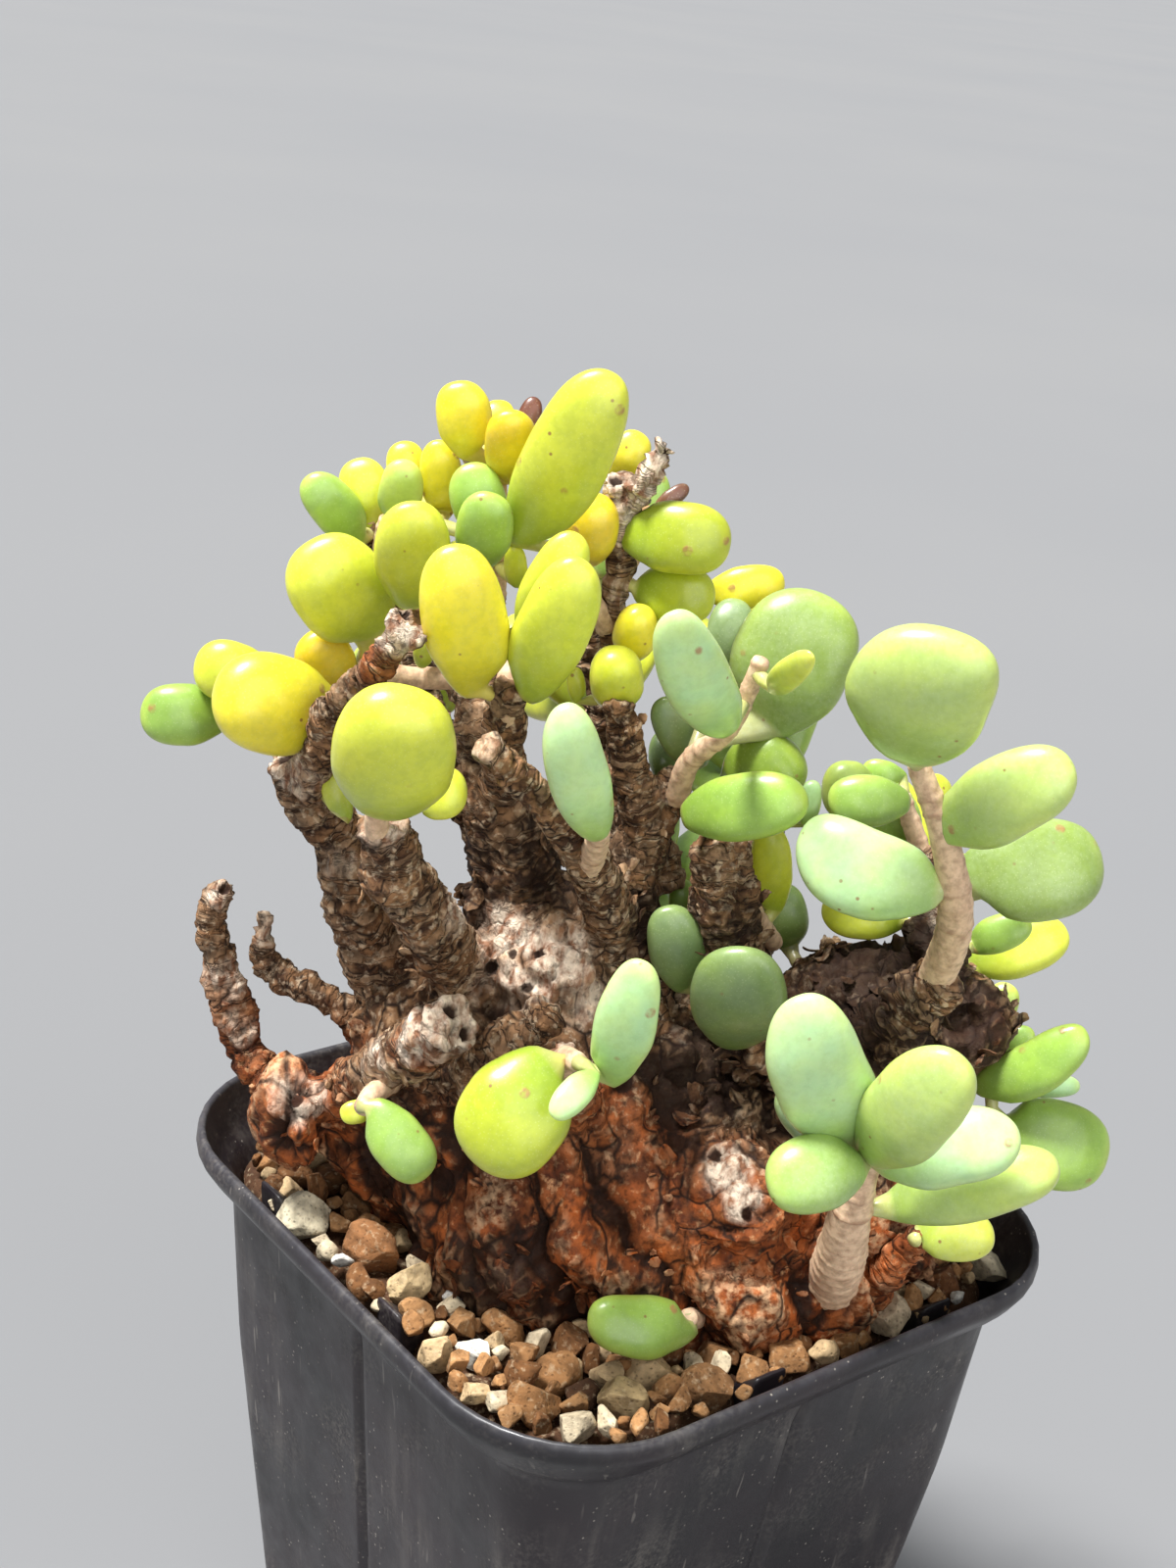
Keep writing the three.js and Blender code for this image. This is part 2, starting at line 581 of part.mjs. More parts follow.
// Arch is how far a leaf bows towards the front, and sway how far to its left, for its length.
function leafSolid({ foot, tip, wide, thick = 0.52, turn = 0, sway = 0 }, stem, grow) {
  const along = tip.clone().sub(foot);
  const length = along.length();
  along.normalize();
  const middle = foot.clone().lerp(tip, 0.5);
  const front = EYE.clone().sub(middle).normalize();
  front.addScaledVector(along, -front.dot(along)).normalize();
  front.applyAxisAngle(along, THREE.MathUtils.degToRad(turn));
  const side = front.clone().cross(along);
  const nowhere = new THREE.Vector3();
  const form = wide < BROAD_FROM ? NARROW_LEAF : BROAD_LEAF;
  const rows = form.outline.map((row) => {
    const halfWide = row.wide * wide / 2 + grow;
    const halfThick = Math.max(row.wide * thick * wide, LEAST_THICKNESS) / 2 + grow;
    const bow = length * Math.sin(Math.PI * row.along);
    return {
      centre: foot.clone().addScaledVector(along, row.along * length)
        .addScaledVector(front, ARCH * bow)
        .addScaledVector(side, sway * bow),
      side: side.clone().multiplyScalar(halfWide),
      front: front.clone().multiplyScalar(Math.min(halfThick, halfWide)),
    };
  });
  rows.push({ centre: tip.clone().addScaledVector(along, grow), side: nowhere, front: nowhere });
  const seat = nearestOn(stem, foot);
  const stalk = foot.clone().sub(seat).normalize();
  [rows[0].side, rows[0].front] = squareTo(stalk.clone().add(along), [rows[0].side, rows[0].front]);
  rows.unshift({ centre: seat.addScaledVector(stalk, -STALK.sunk - grow), side: nowhere, front: nowhere });
  return loft(rows, form.sides);
}

// The lowest oval of a leaf faces halfway between its stalk and the leaf, as in a bent pipe.
function squareTo(heading, axes) {
  const direction = heading.clone().normalize();
  return axes.map((axis) => (
    axis.clone().addScaledVector(direction, -axis.dot(direction)).setLength(axis.length())
  ));
}

// The room of the short stalk that carries a leaf, from the middle of its stem into the leaf
function stalkSolid({ foot, tip, wide }, stem, grow) {
  const seat = nearestOn(stem, foot);
  const inside = foot.clone().lerp(tip, STALK.reach);
  const widths = [STALK.room, Math.min(STALK.room, STALK.share * wide)];
  return branch([seat, inside], widths, { sides: STALK.sides, grow });
}

function nearestOn(path, point) {
  const curve = new THREE.CatmullRomCurve3(path, false, 'centripetal');
  const divisions = 24;
  const candidates = curve.getPoints(divisions).slice(1, divisions - 1);
  return candidates.reduce((best, each) => (
    each.distanceToSquared(point) < best.distanceToSquared(point) ? each : best
  )).clone();
}

function leaf(foot, tip, wide, more = {}) {
  return { foot, tip, wide, ...more };
}

// Leafy shoots that the picture shows: a young stem with the leaves that grow on it
const SHOOTS = [
  { name: 'shoot_crown_far_left', colour: COLOURS.green,
    stem: [spot(398, 592, 5), spot(392, 555, 4), spot(396, 530, 3)],
    leaves: [
      leaf(spot(370, 551, 4), spot(312, 487, 2), 4.9),
      leaf(spot(381, 545, 6), spot(365, 467, 7), 5.5),
      leaf(spot(405, 532, 2), spot(412, 470, 0), 4.5),
    ] },
  { name: 'shoot_crown_left', colour: COLOURS.lime,
    stem: [spot(454, 664, 5), spot(445, 600, 1), spot(446, 530, 1)],
    leaves: [
      leaf(spot(421, 615, -5), spot(423, 512, -9), 7.3),
      leaf(spot(420, 505, 6), spot(412, 450, 7), 4.2),
      leaf(spot(453, 525, 3), spot(448, 449, 2), 4.3),
      leaf(spot(499, 549, -3), spot(478, 472, -3), 5.4, { thick: 0.45 }),
      leaf(spot(490, 574, -5), spot(501, 503, -8), 5.7),
    ] },
  { name: 'shoot_crown_yellow', colour: COLOURS.yellow,
    stem: [spot(503, 610, 3), spot(508, 540, 1), spot(506, 470, 1)],
    leaves: [
      leaf(spot(482, 464, 0), spot(465, 389, -1), 5.5),
      leaf(spot(509, 448, 5), spot(508, 408, 7), 3.3),
      leaf(spot(522, 490, -1), spot(520, 420, -4), 5.3),
      leaf(spot(527, 470, 3), spot(546, 405, 4), 2.6),
    ] },
  { name: 'shoot_crown_top', colour: COLOURS.lime,
    stem: [spot(622, 640, 1), spot(592, 600, -1), spot(568, 558, -2)],
    leaves: [
      leaf(spot(534, 554, -4), spot(625, 379, -8), 8.4, { thick: 0.5 }),
      leaf(spot(596, 574, 0), spot(611, 506, -2), 5.6, { thick: 0.8 }),
    ] },
  { name: 'shoot_crown_right', colour: COLOURS.lime,
    stem: [spot(628, 600, 1), spot(642, 570, 4), spot(640, 508, 6)],
    stemWidths: [1.8, 2.2, 2],
    leaves: [
      leaf(spot(630, 490, 6), spot(653, 440, 7), 4),
      leaf(spot(640, 541, 0), spot(746, 555, -2), 7.3),
    ] },
  { name: 'shoot_centre', colour: COLOURS.yellow,
    stem: [spot(632, 690, 1), spot(650, 640, 3), spot(690, 612, 5)],
    leaves: [
      leaf(spot(650, 600, 1), spot(730, 613, -1), 6.2),
      leaf(spot(722, 606, 7), spot(801, 594, 8), 4.5),
      leaf(spot(643, 668, 0), spot(655, 621, -3), 4.5, { thick: 0.9 }),
      leaf(spot(632, 719, -4), spot(628, 664, -7), 5.4, { thick: 0.9 }),
    ] },
  { name: 'shoot_centre_front', colour: COLOURS.lime,
    stem: [spot(516, 760, -13), spot(518, 710, -17), spot(520, 660, -14)],
    leaves: [
      leaf(spot(487, 703, -18), spot(459, 557, -22), 7.9, { thick: 0.55 }),
      leaf(spot(536, 708, -18), spot(594, 571, -22), 7, { thick: 0.55 }),
      leaf(spot(534, 654, -11), spot(589, 544, -11), 5.4),
    ] },
  { name: 'shoot_right_top', colour: COLOURS.pale,
    stem: [spot(690, 815, -6), spot(702, 780, -8), spot(745, 742, -12), spot(777, 674, -14)],
    leaves: [
      leaf(spot(744, 744, -18), spot(685, 625, -28), 6.3, { thick: 0.55, sway: 0.03 }),
      leaf(spot(775, 739, -3), spot(846, 608, -1), 12, { thick: 0.42 }),
      leaf(spot(738, 680, 3), spot(752, 611, 6), 4.7),
      leaf(spot(787, 704, -16), spot(829, 668, -24), 2.9),
    ] },
  { name: 'shoot_right_inner', colour: COLOURS.green,
    stem: [spot(664, 850, -4), spot(672, 815, -1), spot(690, 786, 1)],
    leaves: [
      leaf(spot(714, 780, -1), spot(672, 714, -3), 4.6),
      leaf(spot(678, 800, 3), spot(678, 744, 6), 3.4, { thick: 0.8 }),
    ] },
  { name: 'shoot_right_middle', colour: COLOURS.yellow,
    stem: [spot(735, 900, -6), spot(728, 850, -7), spot(735, 820, -6)],
    leaves: [
      leaf(spot(742, 815, -3), spot(815, 765, -4), 8.2),
      leaf(spot(700, 833, -12), spot(824, 814, -16), 6.7),
    ] },
  { name: 'shoot_far_right', colour: COLOURS.pale,
    stem: [spot(948, 1016, -14), spot(975, 930, -19), spot(962, 850, -20), spot(936, 778, -20)],
    stemWidths: [3.9, 3.5, 2.7, 2.1],
    leaves: [
      leaf(spot(930, 779, -23), spot(977, 640, -27), 13.7, { thick: 0.4, sway: 0.1 }),
      leaf(spot(960, 847, -20), spot(1095, 777, -24), 7.8),
      leaf(spot(957, 908, -20), spot(815, 853, -17), 8.8, { thick: 0.5, sway: 0.08 }),
      leaf(spot(988, 899, -8), spot(1123, 877, -6), 10.6, { thick: 0.42 }),
    ] },
  { name: 'shoot_far_right_inner', colour: COLOURS.green,
    stem: [spot(950, 945, -2), spot(942, 880, 2), spot(920, 812, 4)],
    leaves: [
      leaf(spot(892, 808, 3), spot(840, 804, 2), 6.4),
      leaf(spot(926, 818, -7), spot(845, 815, -8), 5.3),
      leaf(spot(924, 938, -1), spot(838, 928, 0), 5.2),
      leaf(spot(992, 988, 2), spot(1090, 950, 3), 6),
      leaf(spot(990, 966, -3), spot(1052, 940, -4), 4),
      leaf(spot(930, 866, 6), spot(886, 780, 9), 5.8),
    ] },
  { name: 'shoot_right_stub', colour: COLOURS.yellow,
    stem: [spot(748, 905, -10), spot(770, 935, -3), spot(790, 962, 2)],
    leaves: [
      leaf(spot(788, 930, 0), spot(785, 840, -1), 4.4),
      leaf(spot(806, 968, 5), spot(797, 902, 6), 4.9),
    ] },
  { name: 'shoot_low_centre', colour: COLOURS.green,
    stem: [spot(742, 1112, -4), spot(735, 1065, -12), spot(722, 1010, -9)],
    leaves: [
      leaf(spot(702, 1006, -8), spot(681, 925, -10), 6),
      leaf(spot(755, 1064, -11), spot(758, 968, -16), 9.9, { thick: 0.42 }),
    ] },
  { name: 'shoot_low_right', colour: COLOURS.lime,
    stem: [spot(985, 1080, -1), spot(1004, 1095, -5), spot(1012, 1112, -7)],
    leaves: [
      leaf(spot(998, 1112, -7), spot(1109, 1053, -10), 5.7, { sway: -0.05 }),
      leaf(spot(1012, 1149, -8), spot(1130, 1181, -8), 9.5, { thick: 0.42 }),
      leaf(spot(1015, 1048, 5), spot(1028, 1003, 6), 3.7),
    ] },
  { name: 'rosette_front', colour: COLOURS.pale,
    stem: [spot(848, 1312, -18), spot(860, 1272, -24), spot(870, 1230, -27), spot(888, 1182, -29)],
    stemWidths: [4.4, 3.9, 3, 1.8],
    leaves: [
      leaf(spot(871, 1162, -31), spot(814, 1017, -36), 9.2, { thick: 0.45, sway: 0.03 }),
      leaf(spot(884, 1184, -33), spot(982, 1079, -40), 8.7, { thick: 0.5 }),
      leaf(spot(898, 1186, -31), spot(1041, 1160, -33), 7.3, { thick: 0.5 }),
      leaf(spot(916, 1239, -26), spot(1081, 1190, -29), 6.5, { thick: 0.7 }),
      leaf(spot(936, 1262, -22), spot(1016, 1262, -23), 5.2),
      leaf(spot(877, 1191, -34), spot(783, 1209, -38), 7.2, { thick: 0.6 }),
      leaf(spot(864, 1176, -26), spot(798, 1110, -27), 5.6),
    ] },
  { name: 'shoot_left_stub', colour: COLOURS.lime,
    stem: [spot(386, 856, -25), spot(386, 828, -27), spot(402, 800, -27)],
    leaves: [
      leaf(spot(390, 830, -28), spot(412, 702, -33), 11, { thick: 0.6 }),
      leaf(spot(422, 808, -24), spot(477, 809, -25), 5),
    ] },
  { name: 'shoot_far_left', colour: COLOURS.yellow,
    stem: [spot(302, 792, -6), spot(282, 755, -3), spot(268, 722, -2)],
    leaves: [
      leaf(spot(337, 738, -9), spot(221, 698, -14), 10, { thick: 0.6 }),
      leaf(spot(278, 699, -3), spot(199, 673, -4), 6.4),
      leaf(spot(232, 729, -3), spot(143, 727, -5), 6.4),
    ] },
  { name: 'shoot_left_upper', colour: COLOURS.lime,
    stem: [spot(470, 692, 3), spot(408, 690, 1), spot(365, 680, 0)],
    leaves: [
      leaf(spot(379, 646, -2), spot(312, 556, -6), 10, { thick: 0.5 }),
      leaf(spot(345, 700, -1), spot(316, 646, -3), 6.1),
      leaf(spot(362, 700, 1), spot(386, 655, 0), 3.5),
    ] },
  { name: 'leaf_front_stub', colour: COLOURS.pale,
    stem: [spot(600, 888, -18), spot(608, 862, -24), spot(612, 848, -28)],
    leaves: [leaf(spot(610, 851, -29), spot(575, 719, -34), 5.5, { thick: 0.7, sway: 0.02 })] },
  { name: 'leaves_pale_head', colour: COLOURS.lime,
    stem: [spot(576, 1088, -28), spot(578, 1080, -31), spot(590, 1084, -33)],
    leaves: [
      leaf(spot(621, 1102, -34), spot(655, 981, -37), 5.6),
      leaf(spot(562, 1086, -33), spot(489, 1190, -37), 10.2, { thick: 0.5 }),
      leaf(spot(607, 1094, -36), spot(564, 1140, -40), 3),
    ] },
  { name: 'leaves_left_branch', colour: COLOURS.green,
    stem: [spot(400, 1100, -17), spot(378, 1120, -21), spot(370, 1130, -23)],
    leaves: [
      leaf(spot(379, 1130, -23), spot(435, 1202, -25), 5.7),
    ] },
  { name: 'leaf_near_soil', colour: COLOURS.green,
    stem: [spot(715, 1345, -18), spot(708, 1345, -22), spot(702, 1345, -25)],
    leaves: [leaf(spot(704, 1352, -25), spot(600, 1346, -29), 6.3, { thick: 0.6, sway: 0.05 })] },
];

// Leafy shoots on the far side, grown by rule: leaves turn round the stem by the golden angle.
const GOLDEN_TURN = 137.5;
const BACK_SHOOTS = [
  { name: 'back_shoot_crown_left', root: spot(412, 640, 14), head: spot(410, 590, 19) },
  { name: 'back_shoot_crown_right', root: spot(603, 630, 16), head: spot(602, 570, 20) },
  { name: 'back_shoot_centre', root: spot(622, 770, 17), head: spot(590, 700, 26) },
  { name: 'back_shoot_right_top', root: spot(770, 740, 16), head: spot(770, 690, 20) },
  { name: 'back_shoot_right_low', root: spot(778, 830, 17), head: spot(770, 790, 26) },
  { name: 'back_shoot_left', root: spot(452, 765, 14), head: spot(415, 720, 24) },
  { name: 'back_shoot_far_right', root: spot(952, 915, 1), head: spot(930, 880, 16) },
  { name: 'back_shoot_low', root: spot(640, 930, 13), head: spot(660, 900, 28) },
];

// Their habit: how many leaves, where the lowest stands on the stem, how they lean, their sizes
const BACK_HABIT = {
  leaves: 4,
  lowest: 0.55,
  startTurn: 40,
  leaning: { heading: 0.55, away: 0.55, up: 0.25, outLeast: 0.95, outMost: 1.25 },
  seat: 0.8,
  length: { least: 10, most: 13.5 },
  wide: 0.56,
  thick: 0.5,
};

function backShoot({ name, root, head }, order) {
  const random = seededRandom(SEEDS.backShoots + order);
  const { leaning, length, lowest, leaves: count } = BACK_HABIT;
  const heading = head.clone().sub(root).normalize();
  const across = LEVEL_RIGHT.clone().addScaledVector(heading, -heading.dot(LEVEL_RIGHT)).normalize();
  const leaves = [];
  for (let index = 0; index < count; index += 1) {
    const turn = THREE.MathUtils.degToRad(index * GOLDEN_TURN + order * BACK_HABIT.startTurn);
    const outward = across.clone().applyAxisAngle(heading, turn);
    const direction = heading.clone().multiplyScalar(leaning.heading)
      .addScaledVector(outward, THREE.MathUtils.lerp(leaning.outLeast, leaning.outMost, random()))
      .addScaledVector(AWAY, leaning.away)
      .addScaledVector(UPWARD, leaning.up)
      .normalize();
    const foot = root.clone().lerp(head, lowest + (1 - lowest) * (index / count));
    foot.addScaledVector(outward, BACK_HABIT.seat);
    const long = THREE.MathUtils.lerp(length.least, length.most, random());
    const tip = foot.clone().addScaledVector(direction, long);
    const form = { thick: BACK_HABIT.thick, turn: 360 * random() };
    leaves.push(leaf(foot, tip, BACK_HABIT.wide * long, form));
  }
  const colour = order % 3 === 1 ? COLOURS.green : COLOURS.lime;
  return { name, colour, stem: [root, root.clone().lerp(head, 0.5), head], leaves };
}

const EVERY_SHOOT = [...SHOOTS, ...BACK_SHOOTS.map(backShoot)];
const STEM = { wide: 2.6, taper: 0.12, sides: 5 };

function stemSolid({ stem, stemWidths }, grow) {
  const widths = stemWidths || stem.map((point, index) => STEM.wide * (1 - STEM.taper * index));
  return branch(stem, widths, { sides: STEM.sides, grow });
}

// The stem and the room of its leaf stalks, which nothing cuts
function coreSolid(shoot, grow) {
  return joined([stemSolid(shoot, grow), ...shoot.leaves.map((each) => stalkSolid(each, shoot.stem, grow))]);
}

function shootSolid(shoot, grow) {
  return joined([stemSolid(shoot, grow), ...shoot.leaves.map((each) => leafSolid(each, shoot.stem, grow))]);
}

// Grit: grains fused to the soil, and the larger stones that lie in it as pieces of their own
const STONE_RISE = 1; // the middle of a stone lies this far above the soil
function onSoil(across, down) {
  return spotAtHeight(across, down, SOIL_TOP + STONE_RISE);
}

const STONES = [
  { name: 'stone_brown_left', at: onSoil(380, 1277), half: [3.9, 3.6, 3.1], colour: COLOURS.brownStone },
  { name: 'stone_tan_left', at: onSoil(421, 1315), half: [4.1, 2.9, 2.5], colour: COLOURS.tanStone },
  { name: 'stone_cream_left', at: onSoil(311, 1243), half: [3.3, 2.9, 2.5], colour: COLOURS.whiteStone },
  { name: 'stone_white_near', at: onSoil(485, 1382), half: [2.4, 1.9, 1.5], colour: COLOURS.whiteStone },
  { name: 'stone_tan_middle', at: onSoil(636, 1432), half: [2.4, 2.5, 2.9], colour: COLOURS.tanStone },
  { name: 'stone_brown_near', at: onSoil(722, 1420), half: [3.1, 2.9, 2.6], colour: COLOURS.brownStone },
  { name: 'stone_tan_corner', at: onSoil(545, 1432), half: [2.9, 2.6, 2.6], colour: COLOURS.brownStone },
  { name: 'stone_cream_right', at: onSoil(905, 1346), half: [3, 2.8, 2.5], colour: COLOURS.tanStone },
  { name: 'stone_brown_right', at: onSoil(957, 1312), half: [2.9, 2.6, 2.6], colour: COLOURS.brownStone },
  { name: 'stone_cream_far', at: onSoil(1006, 1290), half: [2.9, 2.6, 2.3], colour: COLOURS.whiteStone },
];

// A stone: the corners of a plain block or ball, turned, stretched and moved at random
function stoneSolid(geometry, centre, half, seed, grow) {
  const random = seededRandom(seed);
  geometry.deleteAttribute('normal');
  geometry.deleteAttribute('uv');
  const merged = mergeVertices(geometry);
  const position = merged.attributes.position;
  const turn = new THREE.Euler(6 * random(), 6 * random(), 6 * random());
  for (let index = 0; index < position.count; index += 1) {
    const stretch = THREE.MathUtils.lerp(STONE_STRETCH.least, STONE_STRETCH.most, random());
    const point = new THREE.Vector3().fromBufferAttribute(position, index).applyEuler(turn);
    const reach = new THREE.Vector3(half[0], half[1], half[2]).multiplyScalar(stretch).addScalar(grow);
    position.setXYZ(index, point.x * reach.x, point.y * reach.y, point.z * reach.z);
  }
  merged.translate(centre.x, centre.y, centre.z);
  return solidOf(merged);
}

function stonesSolid(grow) {
  return STONES.map((stone, index) => (
    stoneSolid(new THREE.IcosahedronGeometry(1), stone.at, stone.half, SEEDS.stones + index, grow)
  ));
}

function soilBlock() {
  return potInside(CLEARANCE).subtract(aboveSoil(0));
}

function underBase(point) {
  const across = (point.dot(LEVEL_RIGHT) - FOOT.middle.across) / FOOT.across;
  const deep = (point.dot(AWAY) - FOOT.middle.depth) / FOOT.deep;
  return Math.hypot(across, deep) < 1;
}

function grains() {
  const random = seededRandom(SEEDS.grains);
  const reach = Math.floor(RIM_HALF / GRAIN_SPACING);
  const solids = [];
  for (let row = -reach; row <= reach; row += 1) {
    for (let column = -reach; column <= reach; column += 1) {
      const x = (row + GRAIN_JITTER * (random() - 0.5)) * GRAIN_SPACING;
      const y = (column + GRAIN_JITTER * (random() - 0.5)) * GRAIN_SPACING;
      const rise = THREE.MathUtils.lerp(GRAIN_RISE.least, GRAIN_RISE.most, random());
      const size = THREE.MathUtils.lerp(GRAIN_HALF.least, GRAIN_HALF.most, random());
      const narrow = GRAIN_HALF.narrowest + GRAIN_HALF.variety * random();
      const flat = GRAIN_HALF.flattest + GRAIN_HALF.variety * random();
      const centre = new THREE.Vector3(x, y, SOIL_TOP + rise);
      if (!underBase(centre)) {
        const half = [size, size * narrow, size * flat];
        const seed = SEEDS.grainShapes + 31 * row + column;
        solids.push(stoneSolid(new THREE.BoxGeometry(1, 1, 1), centre, half, seed, 0));
      }
    }
  }
  return joined(solids);
}

// Stems and stalks keep their shape, then the wood does, and what touches them is cut back.
const looseCores = EVERY_SHOOT.map((shoot) => coreSolid(shoot, CLEARANCE / 2));
const grownCores = EVERY_SHOOT.map((shoot) => coreSolid(shoot, CLEARANCE));
const grownRibs = innerRibs(CLEARANCE);
const wood = woodSolid(0).intersect(aboveSoil(0)).add(footPlug(0))
  .subtract(joined(grownCores))
  .subtract(grownRibs);
const grownWood = woodSolid(CLEARANCE).intersect(aboveSoil(-CLEARANCE)).add(footPlug(CLEARANCE));
const pot = potSolid();

const stoneBodies = [];
let stonesTaken = grownWood;
stonesSolid(0).forEach((stone, index) => {
  stoneBodies.push(stone.subtract(stonesTaken).intersect(potInside(CLEARANCE)).subtract(grownRibs));
  stonesTaken = stonesTaken.add(stonesSolid(CLEARANCE)[index]);
});
const soil = soilBlock()
  .add(grains().intersect(potInside(CLEARANCE)))
  .subtract(grownRibs)
  .subtract(stonesTaken);

// Each shoot is cut back by the wood, by earlier shoots and by the stems of all the others.
let taken = grownWood;
const shootMeshes = EVERY_SHOOT.map((shoot, index) => {
  const otherCores = joined(grownCores.filter((core, other) => other !== index));
  const body = shootSolid(shoot, 0).subtract(otherCores).subtract(taken.subtract(looseCores[index]));
  taken = taken.add(shootSolid(shoot, CLEARANCE));
  return meshOf(shoot.name, body, shoot.colour, ROUGHNESS.leaf);
});

const potGroup = new THREE.Group();
potGroup.add(meshOf('pot', pot, COLOURS.pot, ROUGHNESS.pot));
potGroup.add(meshOf('soil', soil, COLOURS.soil, ROUGHNESS.soil));
STONES.forEach(({ name, colour }, index) => {
  potGroup.add(meshOf(name, stoneBodies[index], colour, ROUGHNESS.stone));
});

const plantGroup = new THREE.Group();
plantGroup.add(meshOf('caudex', wood, COLOURS.bark, ROUGHNESS.bark));
shootMeshes.forEach((mesh) => plantGroup.add(mesh));

const group = new THREE.Group();
group.add(potGroup, plantGroup);

export default group;
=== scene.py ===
# %% [markdown]
# # A potted ceraria pygmaea
# This small succulent has a swollen, folded base, short knobbly limbs and plump leaves. It stands
# in coarse grit in a square plastic nursery pot. Each part of the plant is made here as a body of
# its own, at the place where the measured solids have it, and then gets its bark, wax or plastic.

import math

import bmesh
import bpy
import numpy as np
from mathutils import Matrix, Vector, noise
from mathutils.bvhtree import BVHTree


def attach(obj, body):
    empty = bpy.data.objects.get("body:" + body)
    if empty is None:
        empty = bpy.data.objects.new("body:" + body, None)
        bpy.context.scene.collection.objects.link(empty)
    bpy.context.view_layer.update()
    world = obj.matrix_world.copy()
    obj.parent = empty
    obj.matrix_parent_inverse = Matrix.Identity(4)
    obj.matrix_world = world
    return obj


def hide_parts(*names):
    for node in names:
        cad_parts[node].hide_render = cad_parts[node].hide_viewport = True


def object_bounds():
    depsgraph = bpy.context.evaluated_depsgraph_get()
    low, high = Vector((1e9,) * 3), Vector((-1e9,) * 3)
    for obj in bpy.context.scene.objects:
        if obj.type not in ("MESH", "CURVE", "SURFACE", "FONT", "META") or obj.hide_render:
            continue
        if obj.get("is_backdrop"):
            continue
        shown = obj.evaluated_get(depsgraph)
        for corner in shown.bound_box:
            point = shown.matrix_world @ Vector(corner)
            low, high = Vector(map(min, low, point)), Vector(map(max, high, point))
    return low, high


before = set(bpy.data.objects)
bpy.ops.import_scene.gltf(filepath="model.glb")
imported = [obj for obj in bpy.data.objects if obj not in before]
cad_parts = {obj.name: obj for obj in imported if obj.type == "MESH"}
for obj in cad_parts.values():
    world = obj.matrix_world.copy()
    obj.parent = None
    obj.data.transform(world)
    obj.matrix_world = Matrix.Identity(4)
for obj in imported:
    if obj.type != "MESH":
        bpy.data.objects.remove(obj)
solid_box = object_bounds()
print("nodes in the frame:", len(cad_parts))

# %% [markdown]
# The sizes below are millimetres, because that is how one measures a plant of this size. Blender
# works in metres, so points are scaled once, when a mesh is made.

# %% Sizes of the real thing
MM = 0.001
POT_HEIGHT = 80
RIM_HALF = 37.5  # from the pot's middle to the outermost of its lip
RIM_CORNER = 16.7  # radius of the lip's corners
WALL_INSET = 4.48  # how far inside the lip the top of the wall stands
WALL_DRAFT = 0.104  # how much further inside it stands with each millimetre down
CORNER_CLOSING = 1.57  # how much a corner's radius shrinks with each millimetre inwards
LEAST_CORNER = 5
WALL_THICKNESS = 1.3
POT_FLOOR = 2
SOIL_TOP = POT_HEIGHT - 5.5

# %% [markdown]
# The plant was measured in a picture 1200 wide and 1600 high. A spot of it, with a depth behind or
# before the pot's axis, is one point in space. So the camera comes first: all the directions that
# spot() needs are the camera's own.

# %% Where the camera stands
PICTURE_WIDE, PICTURE_HIGH, FOCAL = 1200, 1600, 2213
AZIMUTH, ELEVATION, ROLL = (math.radians(angle) for angle in (-39.85, 22.39, 6.77))
UPWARD = np.array([0.0, 0.0, 1.0])
AWAY = np.array([-math.sin(AZIMUTH), math.cos(AZIMUTH), 0])
LEVEL_RIGHT = np.array([math.cos(AZIMUTH), math.sin(AZIMUTH), 0])
BACK = -math.cos(ELEVATION) * AWAY + math.sin(ELEVATION) * UPWARD
LEVEL_UP = np.cross(BACK, LEVEL_RIGHT)
VIEW_RIGHT = math.cos(ROLL) * LEVEL_RIGHT + math.sin(ROLL) * LEVEL_UP
VIEW_UP = math.cos(ROLL) * LEVEL_UP - math.sin(ROLL) * LEVEL_RIGHT
EYE_LEFT, EYE_UP, EYE_BACK = 7.9, 41.43, 235.67  # seen from the middle of the pot's rim
EYE = POT_HEIGHT * UPWARD - EYE_LEFT * LEVEL_RIGHT + EYE_UP * LEVEL_UP + EYE_BACK * BACK


def spot(across, down, depth):
    """The point that the picture shows at this spot, at a depth behind the pot's axis."""
    sight = -FOCAL * BACK + (across - PICTURE_WIDE / 2) * VIEW_RIGHT
    sight = sight + (PICTURE_HIGH / 2 - down) * VIEW_UP
    return EYE + sight * (depth - EYE @ AWAY) / (sight @ AWAY)


def spot_at_height(across, down, height):
    """The point that the picture shows at this spot, at a height above the pot's base."""
    near = spot(across, down, 0)
    sight = near - EYE
    return near + sight * (height - near[2]) / sight[2]


print("the eye stands at", EYE.round(1), "mm")

# %% [markdown]
# Plants repeat themselves without ever being regular. A small seeded generator gives the same
# irregularity at every run, so the plant stays the same plant.

# %% Repeatable chance
FACTOR, SPAN = 16807, 2147483647
SEEDS_APART, FIRST_SEED = 7919, 17  # keep the rows of neighbouring seeds well apart


def seeded(seed):
    """A function that gives the next of a fixed row of numbers between 0 and 1."""
    state = [(seed * SEEDS_APART + FIRST_SEED) % SPAN]

    def draw():
        state[0] = state[0] * FACTOR % SPAN
        return state[0] / SPAN

    draw()
    draw()
    return draw


def between(draw, low, high):
    return low + (high - low) * draw()


BUMPS_APART, CREASES_APART = 17.3, 11.9  # how far the next seed's pattern lies from this one


def bumps(points, size, seed):
    """Smooth hills and hollows from -1 to 1, with a typical width of size, at each point."""
    places = np.asarray(points) / size + BUMPS_APART * seed
    return np.array([noise.noise(place) for place in places.tolist()])


def drift(points, size, seed):
    """Smooth irregular shifts of each point, from -1 to 1 along all three axes."""
    return np.column_stack([bumps(points, size, seed + axis) for axis in range(3)])


